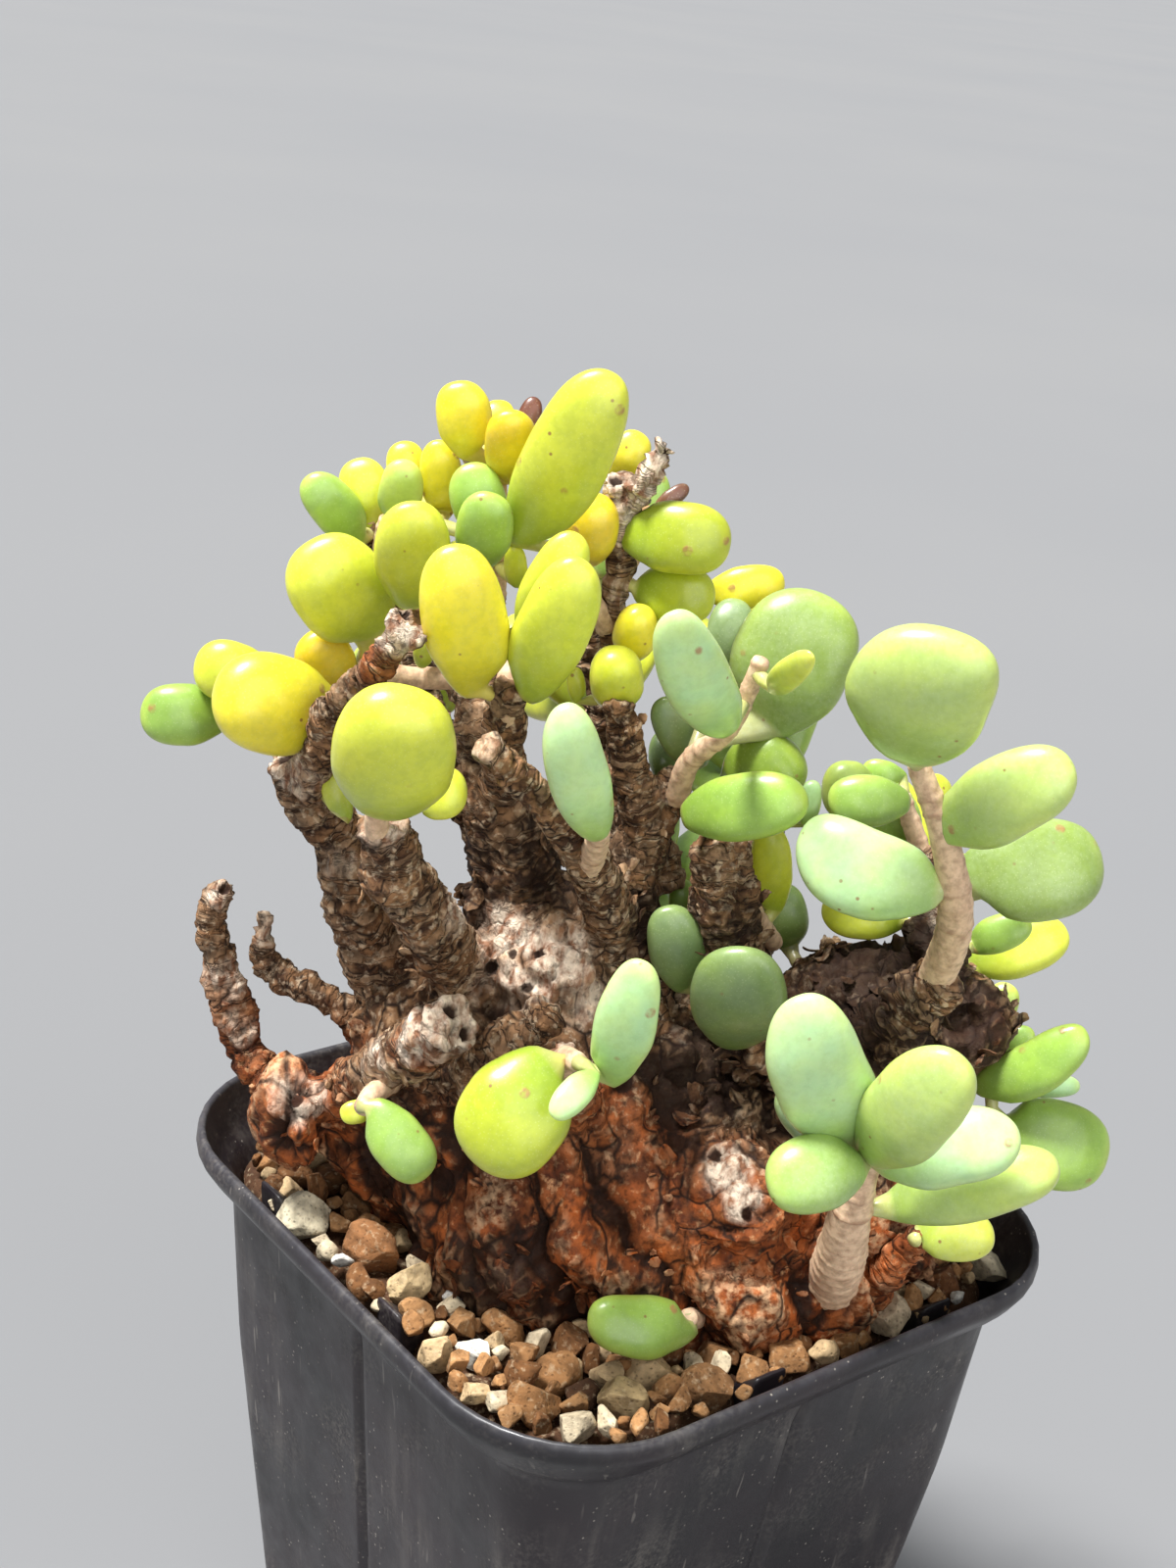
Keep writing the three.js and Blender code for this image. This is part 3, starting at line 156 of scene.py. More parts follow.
def creases(points, size, seed):
    """How far each point is from the nearest border between irregular cells, from 0 to about 1."""
    places = np.asarray(points) / size + CREASES_APART * seed
    nearest = (noise.voronoi(place)[0] for place in places.tolist())
    return np.array([row[1] - row[0] for row in nearest])


def unit(vectors):
    vectors = np.asarray(vectors, float)
    return vectors / np.maximum(np.linalg.norm(vectors, axis=-1, keepdims=True), 1e-9)


def ramp(values, low, high):
    """0 below low, 1 above high, and a soft step between them."""
    share = np.clip((np.asarray(values, float) - low) / (high - low), 0, 1)
    return share * share * (3 - 2 * share)


def uneven_rings(draw, along, place, strength, width, gap):
    """Soft humps along a line from the first place on; strength, width and gap are (least, most)."""
    rings = np.zeros(len(along))
    while place < along[-1]:
        rings += between(draw, *strength) * np.exp(-(((along - place) / between(draw, *width)) ** 2))
        place += between(draw, *gap)
    return rings


# %% [markdown]
# Limbs, stems, leaves and the pot all are rings of points that follow each other, closed by a
# point at each end. One function skins such rings. The first ring is the lower end of the body,
# and rings run anticlockwise seen from the far end, so all faces look outwards.

# %% Rings into bodies
ASKEW = (0.31, 0.17, 0.94)  # a direction that no limb follows
DOME = 0.3  # how far the end of a tube bulges, as a share of its radius


def circle(sides):
    """Cosines and sines of as many angles, spread evenly round a circle."""
    angles = np.arange(sides) / sides * 2 * math.pi
    return np.cos(angles), np.sin(angles)


def skin(rings, start, end):
    """Points and faces of a closed body through rings, an array of ring, step, xyz."""
    count, sides, _ = rings.shape
    points = np.concatenate([rings.reshape(-1, 3), [start, end]])
    low = np.arange((count - 1) * sides).reshape(count - 1, sides)
    beside = np.roll(low, -1, axis=1)
    faces = np.stack([low, beside, beside + sides, low + sides], axis=-1).reshape(-1, 4).tolist()
    first, last = low[0], low[-1] + sides
    foot, head = count * sides, count * sides + 1
    faces += [(foot, after, here) for here, after in zip(first.tolist(), np.roll(first, -1).tolist())]
    faces += [(head, here, after) for here, after in zip(last.tolist(), np.roll(last, -1).tolist())]
    return points, faces


def smooth_path(points, spacing, values=None):
    """Points along a smooth curve through the given ones, with values eased between them."""
    points = np.array(points, float)
    lengths = np.concatenate([[0], np.cumsum(np.linalg.norm(np.diff(points, axis=0), axis=1))])
    slopes = np.gradient(points, lengths, axis=0)
    places = np.linspace(0, lengths[-1], max(int(lengths[-1] / spacing), 3) + 1)
    part = np.clip(np.searchsorted(lengths, places, side="right") - 1, 0, len(points) - 2)
    gap = (lengths[part + 1] - lengths[part])[:, None]
    share = (places - lengths[part])[:, None] / gap
    eased = 3 * share**2 - 2 * share**3
    curve = (1 - eased) * points[part] + eased * points[part + 1]
    curve += share * (1 - share) ** 2 * gap * slopes[part] - share**2 * (1 - share) * gap * slopes[part + 1]
    if values is None:
        return curve
    return curve, places, np.interp(places, lengths, values)


def carried_sides(path):
    """Two directions across a path at each of its points, carried along without twisting."""
    tangents = unit(np.gradient(path, axis=0))
    side = unit(np.cross(tangents[0], ASKEW))
    sides = []
    for tangent in tangents:
        side = unit(side - (side @ tangent) * tangent)
        sides.append(side)
    sides = np.array(sides)
    return tangents, sides, np.cross(tangents, sides)


def tube(path, radii, sides):
    """A round body along a path, with domed ends."""
    tangents, across, over = carried_sides(path)
    cosines, sines = circle(sides)
    ring = cosines[None, :, None] * across[:, None] + sines[None, :, None] * over[:, None]
    rings = path[:, None] + radii[:, None, None] * ring
    return skin(rings, path[0] - DOME * radii[0] * tangents[0], path[-1] + DOME * radii[-1] * tangents[-1])


# %% [markdown]
# A body may be made of several such bodies that grew together, each with colours of its own. They
# are gathered in one mesh, and the colour of each point is kept with it, for the material to use.

# %% Bodies into pieces
def gathered(bodies):
    """One list of points and one of faces from several bodies."""
    points, faces, used = [], [], 0
    for body_points, body_faces in bodies:
        points.append(body_points)
        faces += [tuple(corner + used for corner in face) for face in body_faces]
        used += len(body_points)
    return np.concatenate(points), faces


def make_piece(name, points, faces, materials=(), face_materials=None):
    """A smooth-shaded object from points in millimetres."""
    mesh = bpy.data.meshes.new(name)
    mesh.from_pydata((np.asarray(points) * MM).tolist(), [], faces)
    mesh.polygons.foreach_set("use_smooth", [True] * len(mesh.polygons))
    for material in materials:
        mesh.materials.append(material)
    if face_materials is not None:
        mesh.polygons.foreach_set("material_index", face_materials)
    mesh.update()
    piece = bpy.data.objects.new(name, mesh)
    bpy.context.scene.collection.objects.link(piece)
    return piece


KEPT_AS = {"FLOAT": "value", "FLOAT_VECTOR": "vector", "FLOAT_COLOR": "color"}


def keep(piece, name, kind, values):
    """A number, a place or a colour for each point, for the finish to use."""
    layer = piece.data.attributes.new(name, kind, "POINT")
    layer.data.foreach_set(KEPT_AS[kind], np.asarray(values, float).ravel())


def keep_tones(piece, tones):
    solid = np.ones(len(tones))
    keep(piece, "tone", "FLOAT_COLOR", np.column_stack([tones, solid]))


def stand_for(piece, slot, *nodes):
    """The piece stands for these solids and hides them; slot is not used."""
    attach(piece, "root")
    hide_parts(*nodes)
    print(piece.name, "has", len(piece.data.polygons), "faces")


# %% [markdown]
# Colours are written as they look on a screen, from 0 to 255, and turned into amounts of light,
# which is what a material works with.

# %% Colours and finishes
def light_of(red, green, blue):
    shares = np.array([red, green, blue]) / 255
    return np.where(shares <= 0.04045, shares / 12.92, ((shares + 0.055) / 1.055) ** 2.4)


class Finish:
    """A material and short ways to add the nodes that it is made of."""

    def __init__(self, name):
        self.material = bpy.data.materials.new(name)
        self.material.use_nodes = True
        self.tree = self.material.node_tree
        self.shader = self.tree.nodes["Principled BSDF"]
        self.place = self.node("ShaderNodeTexCoord").outputs["Object"]

    def node(self, kind, **settings):
        made = self.tree.nodes.new(kind)
        for key, value in settings.items():
            setattr(made, key, value)
        return made

    def link(self, source, target):
        self.tree.links.new(source, target)

    def kept(self, name, output="Color"):
        return self.node("ShaderNodeAttribute", attribute_name=name).outputs[output]

    def cloud(self, size, detail=3, roughness=0.55, stretch=None):
        """Soft patches with a typical width of size, in millimetres."""
        place = self.place
        if stretch:
            mapping = self.node("ShaderNodeMapping")
            mapping.inputs["Scale"].default_value = stretch
            self.link(place, mapping.inputs["Vector"])
            place = mapping.outputs["Vector"]
        made = self.node("ShaderNodeTexNoise")
        made.inputs["Scale"].default_value = 1 / (size * MM)
        made.inputs["Detail"].default_value = detail
        made.inputs["Roughness"].default_value = roughness
        self.link(place, made.inputs["Vector"])
        return made.outputs["Fac"]

    def cells(self, size, feature="F1", output="Distance", place=None):
        """Irregular cells with a typical width of size, in millimetres."""
        made = self.node("ShaderNodeTexVoronoi", feature=feature)
        made.inputs["Scale"].default_value = 1 / (size * MM)
        self.link(place or self.place, made.inputs["Vector"])
        return made.outputs[output]

    def between(self, value, low, high, to_low=0.0, to_high=1.0):
        """The value's stretch from low to high, drawn out to another stretch and cut off there."""
        made = self.node("ShaderNodeMapRange", clamp=True)
        for name, number in zip(("From Min", "From Max", "To Min", "To Max"), (low, high, to_low, to_high)):
            made.inputs[name].default_value = number
        self.link(value, made.inputs["Value"])
        return made.outputs["Result"]

    def patches(self, size, low, high, least=0.0, most=1.0, detail=4):
        """Clouds of this size, cut off below low and above high."""
        return self.between(self.cloud(size, detail=detail), low, high, least, most)

    def times(self, first, second, operation="MULTIPLY"):
        made = self.node("ShaderNodeMath", operation=operation)
        self.put(first, made.inputs[0])
        self.put(second, made.inputs[1])
        return made.outputs["Value"]

    def plus(self, first, second):
        return self.times(first, second, operation="ADD")

    def put(self, source, target):
        """Connects an output, or sets a colour or a number on the socket itself."""
        if isinstance(source, bpy.types.NodeSocket):
            self.link(source, target)
        elif isinstance(source, tuple):
            target.default_value = (*light_of(*source), 1)
        else:
            target.default_value = source

    def mix(self, share, first, second, blend="MIX"):
        made = self.node("ShaderNodeMix", data_type="RGBA", blend_type=blend)
        colours = [socket for socket in made.inputs if socket.type == "RGBA"]
        self.put(share, made.inputs["Factor"])
        self.put(first, colours[0])
        self.put(second, colours[1])
        return next(socket for socket in made.outputs if socket.type == "RGBA")

    def painted(self, shade, *layers):
        """The shade with layers over it, each as how much of it shows and its colour."""
        for share, colour in layers:
            shade = self.mix(share, shade, colour)
        return shade

    def relief(self, *layers):
        """Bumps from (height, strength, distance in millimetres), one over the other."""
        normal = None
        for height, strength, distance in layers:
            bump = self.node("ShaderNodeBump")
            bump.inputs["Strength"].default_value = strength
            bump.inputs["Distance"].default_value = distance * MM
            self.link(height, bump.inputs["Height"])
            if normal:
                self.link(normal, bump.inputs["Normal"])
            normal = bump.outputs["Normal"]
        self.link(normal, self.shader.inputs["Normal"])

    def finished(self, colour, roughness, **settings):
        self.put(colour, self.shader.inputs["Base Color"])
        self.put(roughness, self.shader.inputs["Roughness"])
        for name, value in settings.items():
            self.shader.inputs[name.replace("_", " ")].default_value = value
        return self.material


# %% [markdown]
# ## The pot
# A nursery pot is blown or pressed from thin black plastic: four walls that lean inwards, round
# corners, and a lip that rolls out at the top and hangs down a little. It could be a box with
# bevels, but the lip is one flowing curve. So the pot is drawn as its profile, a row of heights
# and insets, and each point of the profile becomes a rounded square.

# %% Rounded squares
CORNER_STEPS = 10
TO_THE_MIDDLE = np.array([-1, -0.75, -0.5, -0.3, -0.16, -0.09, -0.06, -0.04, -0.02])
STRAIGHT_STEPS = np.concatenate([TO_THE_MIDDLE, [0], -TO_THE_MIDDLE[::-1]])
GROOVE_TOP = POT_HEIGHT - 9
GROOVE_DEPTH = 0.8
GROOVE_HALF_BELOW, GROOVE_HALF_ABOVE = 1.7, 0.6
GROOVE_END = 2  # how long the groove takes to run out at its top


def groove(along_wall, height):
    """How deep the shallow groove is that widens on its way down the middle of each wall."""
    half_width = np.interp(height, [0, GROOVE_TOP], [GROOVE_HALF_BELOW, GROOVE_HALF_ABOVE])
    ends = ramp(height, GROOVE_TOP, GROOVE_TOP - GROOVE_END)
    return GROOVE_DEPTH * ends * (1 - ramp(abs(along_wall), 0.35 * half_width, half_width))


def rounded_square(height, inset, grooved=False):
    """Points of a rounded square that stands this far inside the widest part of the lip."""
    half = RIM_HALF - inset
    corner = max(RIM_CORNER - CORNER_CLOSING * max(inset, 0), LEAST_CORNER)
    middle = half - corner
    points = []
    for quarter in range(4):
        turn = quarter * math.pi / 2
        outward = np.array([math.cos(turn), math.sin(turn)])
        onward = np.array([-math.sin(turn), math.cos(turn)])
        for place in STRAIGHT_STEPS * middle:
            sunk = groove(place, height) if grooved else 0
            points.append((half - sunk) * outward + place * onward)
        for step in range(1, CORNER_STEPS):
            angle = turn + step / CORNER_STEPS * math.pi / 2
            arm = corner * np.array([math.cos(angle), math.sin(angle)])
            points.append(middle * (outward + onward) + arm)
    return np.column_stack([points, np.full(len(points), height)])


def wall_inset(height):
    return WALL_INSET + WALL_DRAFT * (POT_HEIGHT - height)


# %% [markdown]
# The profile is read upwards on the outside and downwards on the inside. Heights near the lip lie
# close together, so that its roll catches the light as a thin bright line.

# %% Pot profile
LIP = (  # how far below the rim, and how far inside the outermost of the lip
    (6.8, 4.9), (5, 2.2), (3.8, 1.3), (2.8, 0.6), (1.7, 0.05), (0.8, 0.1), (0.2, 0.3),
    (0, 0.75), (0.15, 1.1), (0.8, 1.35), (2.5, 2.1), (4.5, 3.2), (6.5, 5.0), (8.5, 6.3),
)
LIP_STEP = 0.35
UNDER_LIP, UNDER_ROLL = 8.3, 11  # how far below the rim the plain wall starts, outside and inside
ROUNDED_EDGE = ((0, 0.9), (0.3, 0.35))  # the lower edge: height, and how far in from the wall
FLOOR_ROUNDING = 0.6
outside = [(height, wall_inset(0) + inset) for height, inset in ROUNDED_EDGE]
outside += [(height, wall_inset(height)) for height in (1, *np.linspace(4, POT_HEIGHT - UNDER_LIP, 26))]
lip_curve = smooth_path([(POT_HEIGHT - below, inset, 0) for below, inset in LIP], LIP_STEP)[:, :2]
inside = [(height, wall_inset(height) + WALL_THICKNESS)
          for height in np.linspace(POT_HEIGHT - UNDER_ROLL, POT_FLOOR + FLOOR_ROUNDING, 12)]
inside.append((POT_FLOOR, wall_inset(POT_FLOOR) + WALL_THICKNESS + 0.8))
profile = outside + lip_curve.tolist() + inside
rings = np.array([rounded_square(height, inset, grooved=index < len(outside))
                  for index, (height, inset) in enumerate(profile)])
pot_points, pot_faces = skin(rings, (0, 0, 0), (0, 0, POT_FLOOR))
WARP, WARP_WIDTH = 0.0025, 26  # thin walls are never quite true
pot_points[:, :2] *= 1 + WARP * bumps(pot_points, WARP_WIDTH, 3)[:, None]
print("the pot's rim measures", np.ptp(rings[..., 0]).round(1), "mm")

# %% [markdown]
# Two short upright ribs stand on the inside of each wall, under the rim, and keep a pot that is
# stacked on this one from jamming. They are rounded blocks, sunk into the wall, and lean with it.

# %% Inner ribs
RIB_PLACES = (-5.7, 17.5)  # to the side of a wall's middle
RIB_WIDE, RIB_DEEP, RIB_HIGH = 4.4, 3.4, 8
RIB_BELOW_RIM, RIB_SUNK = 2.4, 1.3  # how far under the rim it ends, how far it goes into the wall
RIB_SLOPE = 0.75  # how much its top falls towards the inside
RIB_SQUARENESS = 0.25  # 1 would be an oval, 0 a sharp block
RIB_SIDES = 20
RIB_LEVELS = (  # height over its foot, and how much of its full spread it has there
    (0, 0.8), (0.3, 0.95), (1, 1), (RIB_HIGH - 0.8, 1), (RIB_HIGH - 0.2, 0.96), (RIB_HIGH, 0.85),
)


def squarer(wave, power):
    return np.sign(wave) * abs(wave) ** power


def rib(quarter, offset):
    """One rib on the wall that faces this quarter turn, this far to the wall's side."""
    turn = (quarter - 1) * math.pi / 2
    outward = np.array([math.cos(turn), math.sin(turn), 0])
    onward = np.array([-math.sin(turn), math.cos(turn), 0])
    reach_out, reach_on = (squarer(wave, RIB_SQUARENESS) * wide / 2
                           for wave, wide in zip(circle(RIB_SIDES), (RIB_DEEP, RIB_WIDE)))
    rings = []
    for raised, spread in RIB_LEVELS:
        level = POT_HEIGHT - RIB_BELOW_RIM - RIB_HIGH + raised
        face = RIM_HALF - wall_inset(level) - WALL_THICKNESS + RIB_SUNK - RIB_DEEP / 2
        centre = face * outward + offset * onward + level * UPWARD
        fall = RIB_SLOPE * (RIB_DEEP / 2 - reach_out) * raised / RIB_HIGH
        across = spread * (reach_out[:, None] * outward + reach_on[:, None] * onward)
        rings.append(centre + across - fall[:, None] * UPWARD)
    rings = np.array(rings)
    return skin(rings, rings[0].mean(axis=0), rings[-1].mean(axis=0))


ribs = [rib(quarter, offset if quarter % 2 == 0 else -offset)
        for quarter in range(4) for offset in RIB_PLACES]
print("inner ribs:", len(ribs))

# %% [markdown]
# The plastic is near-black with a soft shine. What makes it look real is what it has been through:
# pale dust that clings in patches and runs, specks of grit, hair-thin scratches, and a lip that is
# rubbed a little lighter. Dust and specks are patches of noise that are cut off hard, and
# scratches are noise drawn out to long thin lines, some upright and some slanting.

# %% Plastic
CHARCOAL, WARM_CHARCOAL, WORN, DUST = (30, 28, 31), (45, 37, 41), (62, 61, 65), (150, 143, 134)
UPRIGHT_RUNS = (1, 1, 0.1)
SCRATCHES = (((1, 1, 0.045), 0.715), ((0.5, 1.3, 0.16), 0.725))  # how they are drawn out, how rare


def plastic():
    finish = Finish("pot_plastic")
    rubbed = finish.times(finish.kept("lip", "Fac"), finish.patches(1.2, 0.3, 0.75, 0.3, detail=3))
    haze = finish.times(finish.patches(8, 0.46, 0.8, most=0.3, detail=6),
                        finish.patches(0.5, 0.42, 0.7, detail=3))
    runs = finish.between(finish.cloud(2.4, detail=5, stretch=UPRIGHT_RUNS), 0.52, 0.8, 0, 0.26)
    runs = finish.times(runs, finish.patches(16, 0.4, 0.65, detail=3))
    speck = finish.times(finish.between(finish.cells(1.0), 0.15, 0.08),
                         finish.patches(5, 0.46, 0.6, most=0.85, detail=3))
    scratches = []
    for stretch, rare in SCRATCHES:
        streaks = finish.between(finish.cloud(0.9, detail=1, stretch=stretch), rare, rare + 0.03)
        scratches.append(finish.times(streaks, finish.patches(14, 0.46, 0.6, most=0.4, detail=3)))
    dusty = [(patch, DUST) for patch in (haze, runs, speck, *scratches)]
    shade = finish.mix(finish.patches(18, 0.35, 0.7, detail=3), CHARCOAL, WARM_CHARCOAL)
    shade = finish.painted(shade, (rubbed, WORN), *dusty)
    finish.relief((finish.cloud(0.35), 0.2, 0.05), (finish.cloud(7), 0.3, 0.35))
    return finish.finished(shade, finish.patches(4, 0.3, 0.7, 0.3, 0.5, detail=3), Specular_IOR_Level=0.5)


# %% Pot
drawn_pot = gathered([(pot_points, pot_faces), *ribs])
nursery_pot = make_piece("nursery_pot", *drawn_pot, [plastic()])
RUBBED_FROM, RUBBED_TO = POT_HEIGHT - 1.1, POT_HEIGHT - 0.1
keep(nursery_pot, "lip", "FLOAT", ramp(drawn_pot[0][:, 2], RUBBED_FROM, RUBBED_TO))
stand_for(nursery_pot, "pot_plastic", "pot")

# %% [markdown]
# ## The swollen base and its limbs
# The base and the limbs grew as one: a squat trunk that has folded over itself as it swelled, with
# knobbly limbs, dried stubs and old scars. Sculpting would give that shape, but nobody could read
# it afterwards. So it is grown in three steps: round limbs and swellings give the mass, a remesh
# makes them one skin, and folds, flakes and rings are pushed into it.

# %% Limbs and swellings
LIMBS = [  # each as places in the picture: across, down, depth and width there
    # Left limb with its dead end, and the curled dead branch before it
    ((430, 1080, -3, 10), (391, 970, -4, 7.8), (365, 915, -5, 6.8), (344, 850, -6, 5.9),
     (293, 770, -8, 5.2)),
    ((318, 805, -9, 4.4), (345, 712, -17, 3.4), (378, 682, -20, 3.2), (408, 652, -22, 3.2),
     (412, 618, -21, 2.8)),
    ((400, 664, -21, 2.2), (430, 655, -23, 1.6), (442, 640, -21, 1)),
    # Blunt stub before the left limb
    ((492, 1040, -3, 8), (463, 978, -10, 6.8), (431, 928, -18, 6.2), (400, 880, -23, 6.4),
     (386, 842, -25, 5.4)),
    # Middle trunk, its hidden way up to the crown on the left, and the cut stubs before it
    ((545, 1030, -4, 13), (528, 930, -3, 9.4), (512, 840, -3, 7.6), (495, 740, -1, 6.4),
     (490, 690, 1, 5.2)),
    ((492, 735, 1, 4.6), (455, 660, 5, 4), (395, 590, 6, 3.4), (369, 520, 6, 2.6)),
    ((492, 730, 1, 4.8), (500, 650, 3, 3.8), (500, 560, 4, 3), (476, 452, 4, 1.5)),
    ((618, 960, -5, 6), (603, 885, -17, 4.6), (555, 815, -25, 3.6), (493, 758, -28, 3.4)),
    ((510, 800, -5, 4.8), (515, 755, -14, 4), (520, 700, -18, 3.6)),
    # Main cut stub at the crown
    ((668, 905, -2, 6), (655, 830, -1, 4.4), (638, 750, 0, 3.5), (628, 650, 1, 3.1), (634, 560, 1, 3.1),
     (630, 488, 0, 3.4)),
    ((636, 530, 1, 2.8), (655, 495, -1, 2.7), (680, 453, -1, 2.3)),
    # Right limb, the branches that rise from it, and the second stub
    ((640, 1010, -5, 10), (640, 890, -5, 6.4), (668, 830, -5, 4.6), (693, 790, -5, 3.6)),
    ((655, 870, -6, 4.4), (645, 790, -7, 4), (632, 715, -8, 3.2)),
    ((775, 1060, -6, 8.5), (750, 985, -8, 6.4), (736, 920, -9, 6), (728, 862, -10, 5.6)),
    ((745, 960, -8, 4), (757, 905, -10, 3.2), (752, 858, -11, 2.8)),
    # Hidden limbs towards the back
    ((560, 1010, 6, 9), (520, 900, 12, 6), (450, 760, 14, 4.6), (410, 620, 15, 3.2)),
    ((640, 1020, 8, 9), (640, 900, 14, 6), (620, 760, 17, 4.4), (600, 610, 16, 3)),
    ((740, 1040, 8, 8), (770, 920, 14, 5.6), (780, 800, 17, 4.2), (770, 720, 16, 3)),
    # Dark mound on the right with its stem, and the low stems beyond it
    ((885, 1065, -2, 12), (944, 995, -5, 6.6), (954, 935, -3, 4.2), (944, 868, 2, 3.2)),
    ((830, 1110, -8, 9), (905, 1050, -12, 6.6), (966, 1000, -16, 4.2)),
    ((900, 1110, -2, 9), (965, 1075, 0, 5.4), (1005, 1060, 0, 3.2)),
    # Dead twigs on the left
    ((330, 1130, -2, 6), (258, 1080, 0, 5), (243, 1035, 1, 4.9), (222, 980, 1, 4.1), (216, 940, 1, 3.8),
     (230, 905, 0, 3)),
    ((390, 1050, -2, 5.4), (322, 1016, -2, 4), (265, 978, -1, 3.2), (271, 934, -1, 1.6)),
    # Short thick branch that comes forward on the left, and the pale ridge above it
    ((345, 1120, -8, 6.4), (395, 1085, -17, 5.2), (462, 1042, -25, 6.2)),
    ((425, 1112, -14, 5.4), (500, 1075, -18, 5.2), (565, 1030, -17, 4.4)),
    # Pale head at the front, the orange twig and the scarred stump
    ((590, 1130, -16, 5), (580, 1100, -25, 3.8), (574, 1076, -30, 3.2)),
    ((880, 1318, -12, 5), (908, 1292, -19, 3.4), (938, 1258, -22, 2.2)),
    ((762, 1244, -12, 14), (757, 1228, -17, 12), (752, 1214, -20.5, 10)),
]

SWELLINGS = [  # a place in the picture, and half the size across, along the depth and upwards
    ((650, 1185, -2), (29, 22, 17)),
    ((560, 1105, -3), (21, 17, 17)),
    ((860, 1175, -3), (14.5, 15, 14)),
    ((425, 1140, -2), (9.5, 12, 9.5)),
    ((300, 1140, -10), (3.9, 4.4, 5.2)),
    ((880, 1035, -3), (9.5, 9, 6.5)),
    ((752, 1290, -14), (14, 9.5, 9)),
    ((540, 1270, -10), (14, 9.5, 8)),
    ((555, 992, -10), (3.4, 3, 3.4)),
    ((570, 985, -3), (11, 10, 10)),
    ((440, 1050, -5), (8, 9, 8)),
    ((700, 1120, 9), (22, 14, 14)),
    ((978, 1036, -4), (5.6, 6, 4.4)),
]

# %% [markdown]
# A limb is never quite straight, and it is a little thicker wherever a pair of leaves once sat. It
# wanders by a share of its width, and its radius swells and shrinks in uneven steps.

# %% Limbs and swellings as bodies
LIMB_STEP, LIMB_SIDES = 0.5, 18
WANDER, WANDER_LENGTH = 0.13, 5  # a share of the width, and the length of one bend
LUMP_BANDS, LUMP_SIDES = 22, 32
LUMP_OPENING = 0.06  # angle at which the first ring stands off the pole
LUMP_ROUGH, LUMP_ROUGH_WIDTH = 0.09, 8


def grown_limb(places, seed):
    """The body of a limb, its middle line, and its radius and length so far along that line."""
    path, widths = [spot(*place) for *place, _ in places], [width for *_, width in places]
    curve, along, width = smooth_path(path, LIMB_STEP, widths)
    draw = seeded(seed)
    bulge = uneven_rings(draw, along, between(draw, 0.5, 1.5), (0.02, 0.1), (0.4, 0.8), (1.4, 3.2))
    curve = curve + WANDER * width[:, None] * drift(curve, WANDER_LENGTH, seed)
    radii = width / 2 * (0.96 + bulge + 0.07 * bumps(curve, 3, seed + 7))
    return tube(curve, radii, LIMB_SIDES), curve, radii, along


def flat_ring(sides, half_across, half_deep):
    """A level oval round the middle, laid out across and along the line of sight."""
    cosines, sines = circle(sides)
    return cosines[:, None] * LEVEL_RIGHT * half_across + sines[:, None] * AWAY * half_deep


def lump(centre, half, seed):
    """A round swelling with a slightly uneven skin."""
    bands = np.linspace(LUMP_OPENING, math.pi - LUMP_OPENING, LUMP_BANDS)[:, None, None]
    rings = centre + np.sin(bands) * flat_ring(LUMP_SIDES, half[0], half[1])
    rings = rings - np.cos(bands) * UPWARD * half[2]
    rough = bumps(rings.reshape(-1, 3), LUMP_ROUGH_WIDTH, seed).reshape(LUMP_BANDS, LUMP_SIDES, 1)
    rings = rings + LUMP_ROUGH * min(half) * rough * unit(rings - centre)
    return skin(rings, centre - half[2] * UPWARD, centre + half[2] * UPWARD)


FIRST_LIMB_SEED = 101
grown_limbs = [grown_limb(places, seed) for seed, places in enumerate(LIMBS, FIRST_LIMB_SEED)]
mass = [body for body, *_ in grown_limbs]
mass += [lump(spot(*place), half, seed) for seed, (place, half) in enumerate(SWELLINGS)]
print("limbs:", len(LIMBS), "and swellings:", len(SWELLINGS))

# %% [markdown]
# The plug below the soil line closes the body where it goes down into the grit.

# %% Foot in the soil
FOOT_ACROSS, FOOT_DEEP, FOOT_SIDES = 26.5, 19.5, 40
FOOT_LEVELS = ((-17, 0.72), (-9, 0.86), (-3, 1), (1.5, 1))  # over the soil, share of the spread
foot_middle = 2 * LEVEL_RIGHT - AWAY + SOIL_TOP * UPWARD
foot_ring = flat_ring(FOOT_SIDES, FOOT_ACROSS, FOOT_DEEP)
foot_rings = np.array([foot_middle + level * UPWARD + spread * foot_ring for level, spread in FOOT_LEVELS])
mass.append(skin(foot_rings, foot_rings[0].mean(axis=0), foot_rings[-1].mean(axis=0)))

# %% [markdown]
# A voxel remesh walks round the outside of everything and leaves one skin. Steps of about
# half a millimetre keep the thinnest twigs whole and leave room for the rings of the bark.

# %% One skin
SKIN_STEP = 0.54
SOFTENING, SOFTENED_TIMES = 0.5, 4


def one_skin(bodies):
    """Points, faces and normals of the joined outside of several bodies."""
    rough = make_piece("rough_mass", *gathered(bodies))
    remesh = rough.modifiers.new("one_skin", "REMESH")
    remesh.mode = "VOXEL"
    remesh.voxel_size = SKIN_STEP * MM
    smooth = rough.modifiers.new("soften", "SMOOTH")
    smooth.factor = SOFTENING
    smooth.iterations = SOFTENED_TIMES
    found = rough.evaluated_get(bpy.context.evaluated_depsgraph_get()).to_mesh()
    points = np.empty(len(found.vertices) * 3)
    normals = np.empty_like(points)
    found.vertices.foreach_get("co", points)
    found.vertices.foreach_get("normal", normals)
    faces = [tuple(face.vertices) for face in found.polygons]
    bpy.data.objects.remove(rough)
    return points.reshape(-1, 3) / MM, faces, normals.reshape(-1, 3)


skin_points, skin_faces, skin_normals = one_skin(mass)
print("the wood's skin has", len(skin_faces), "faces")
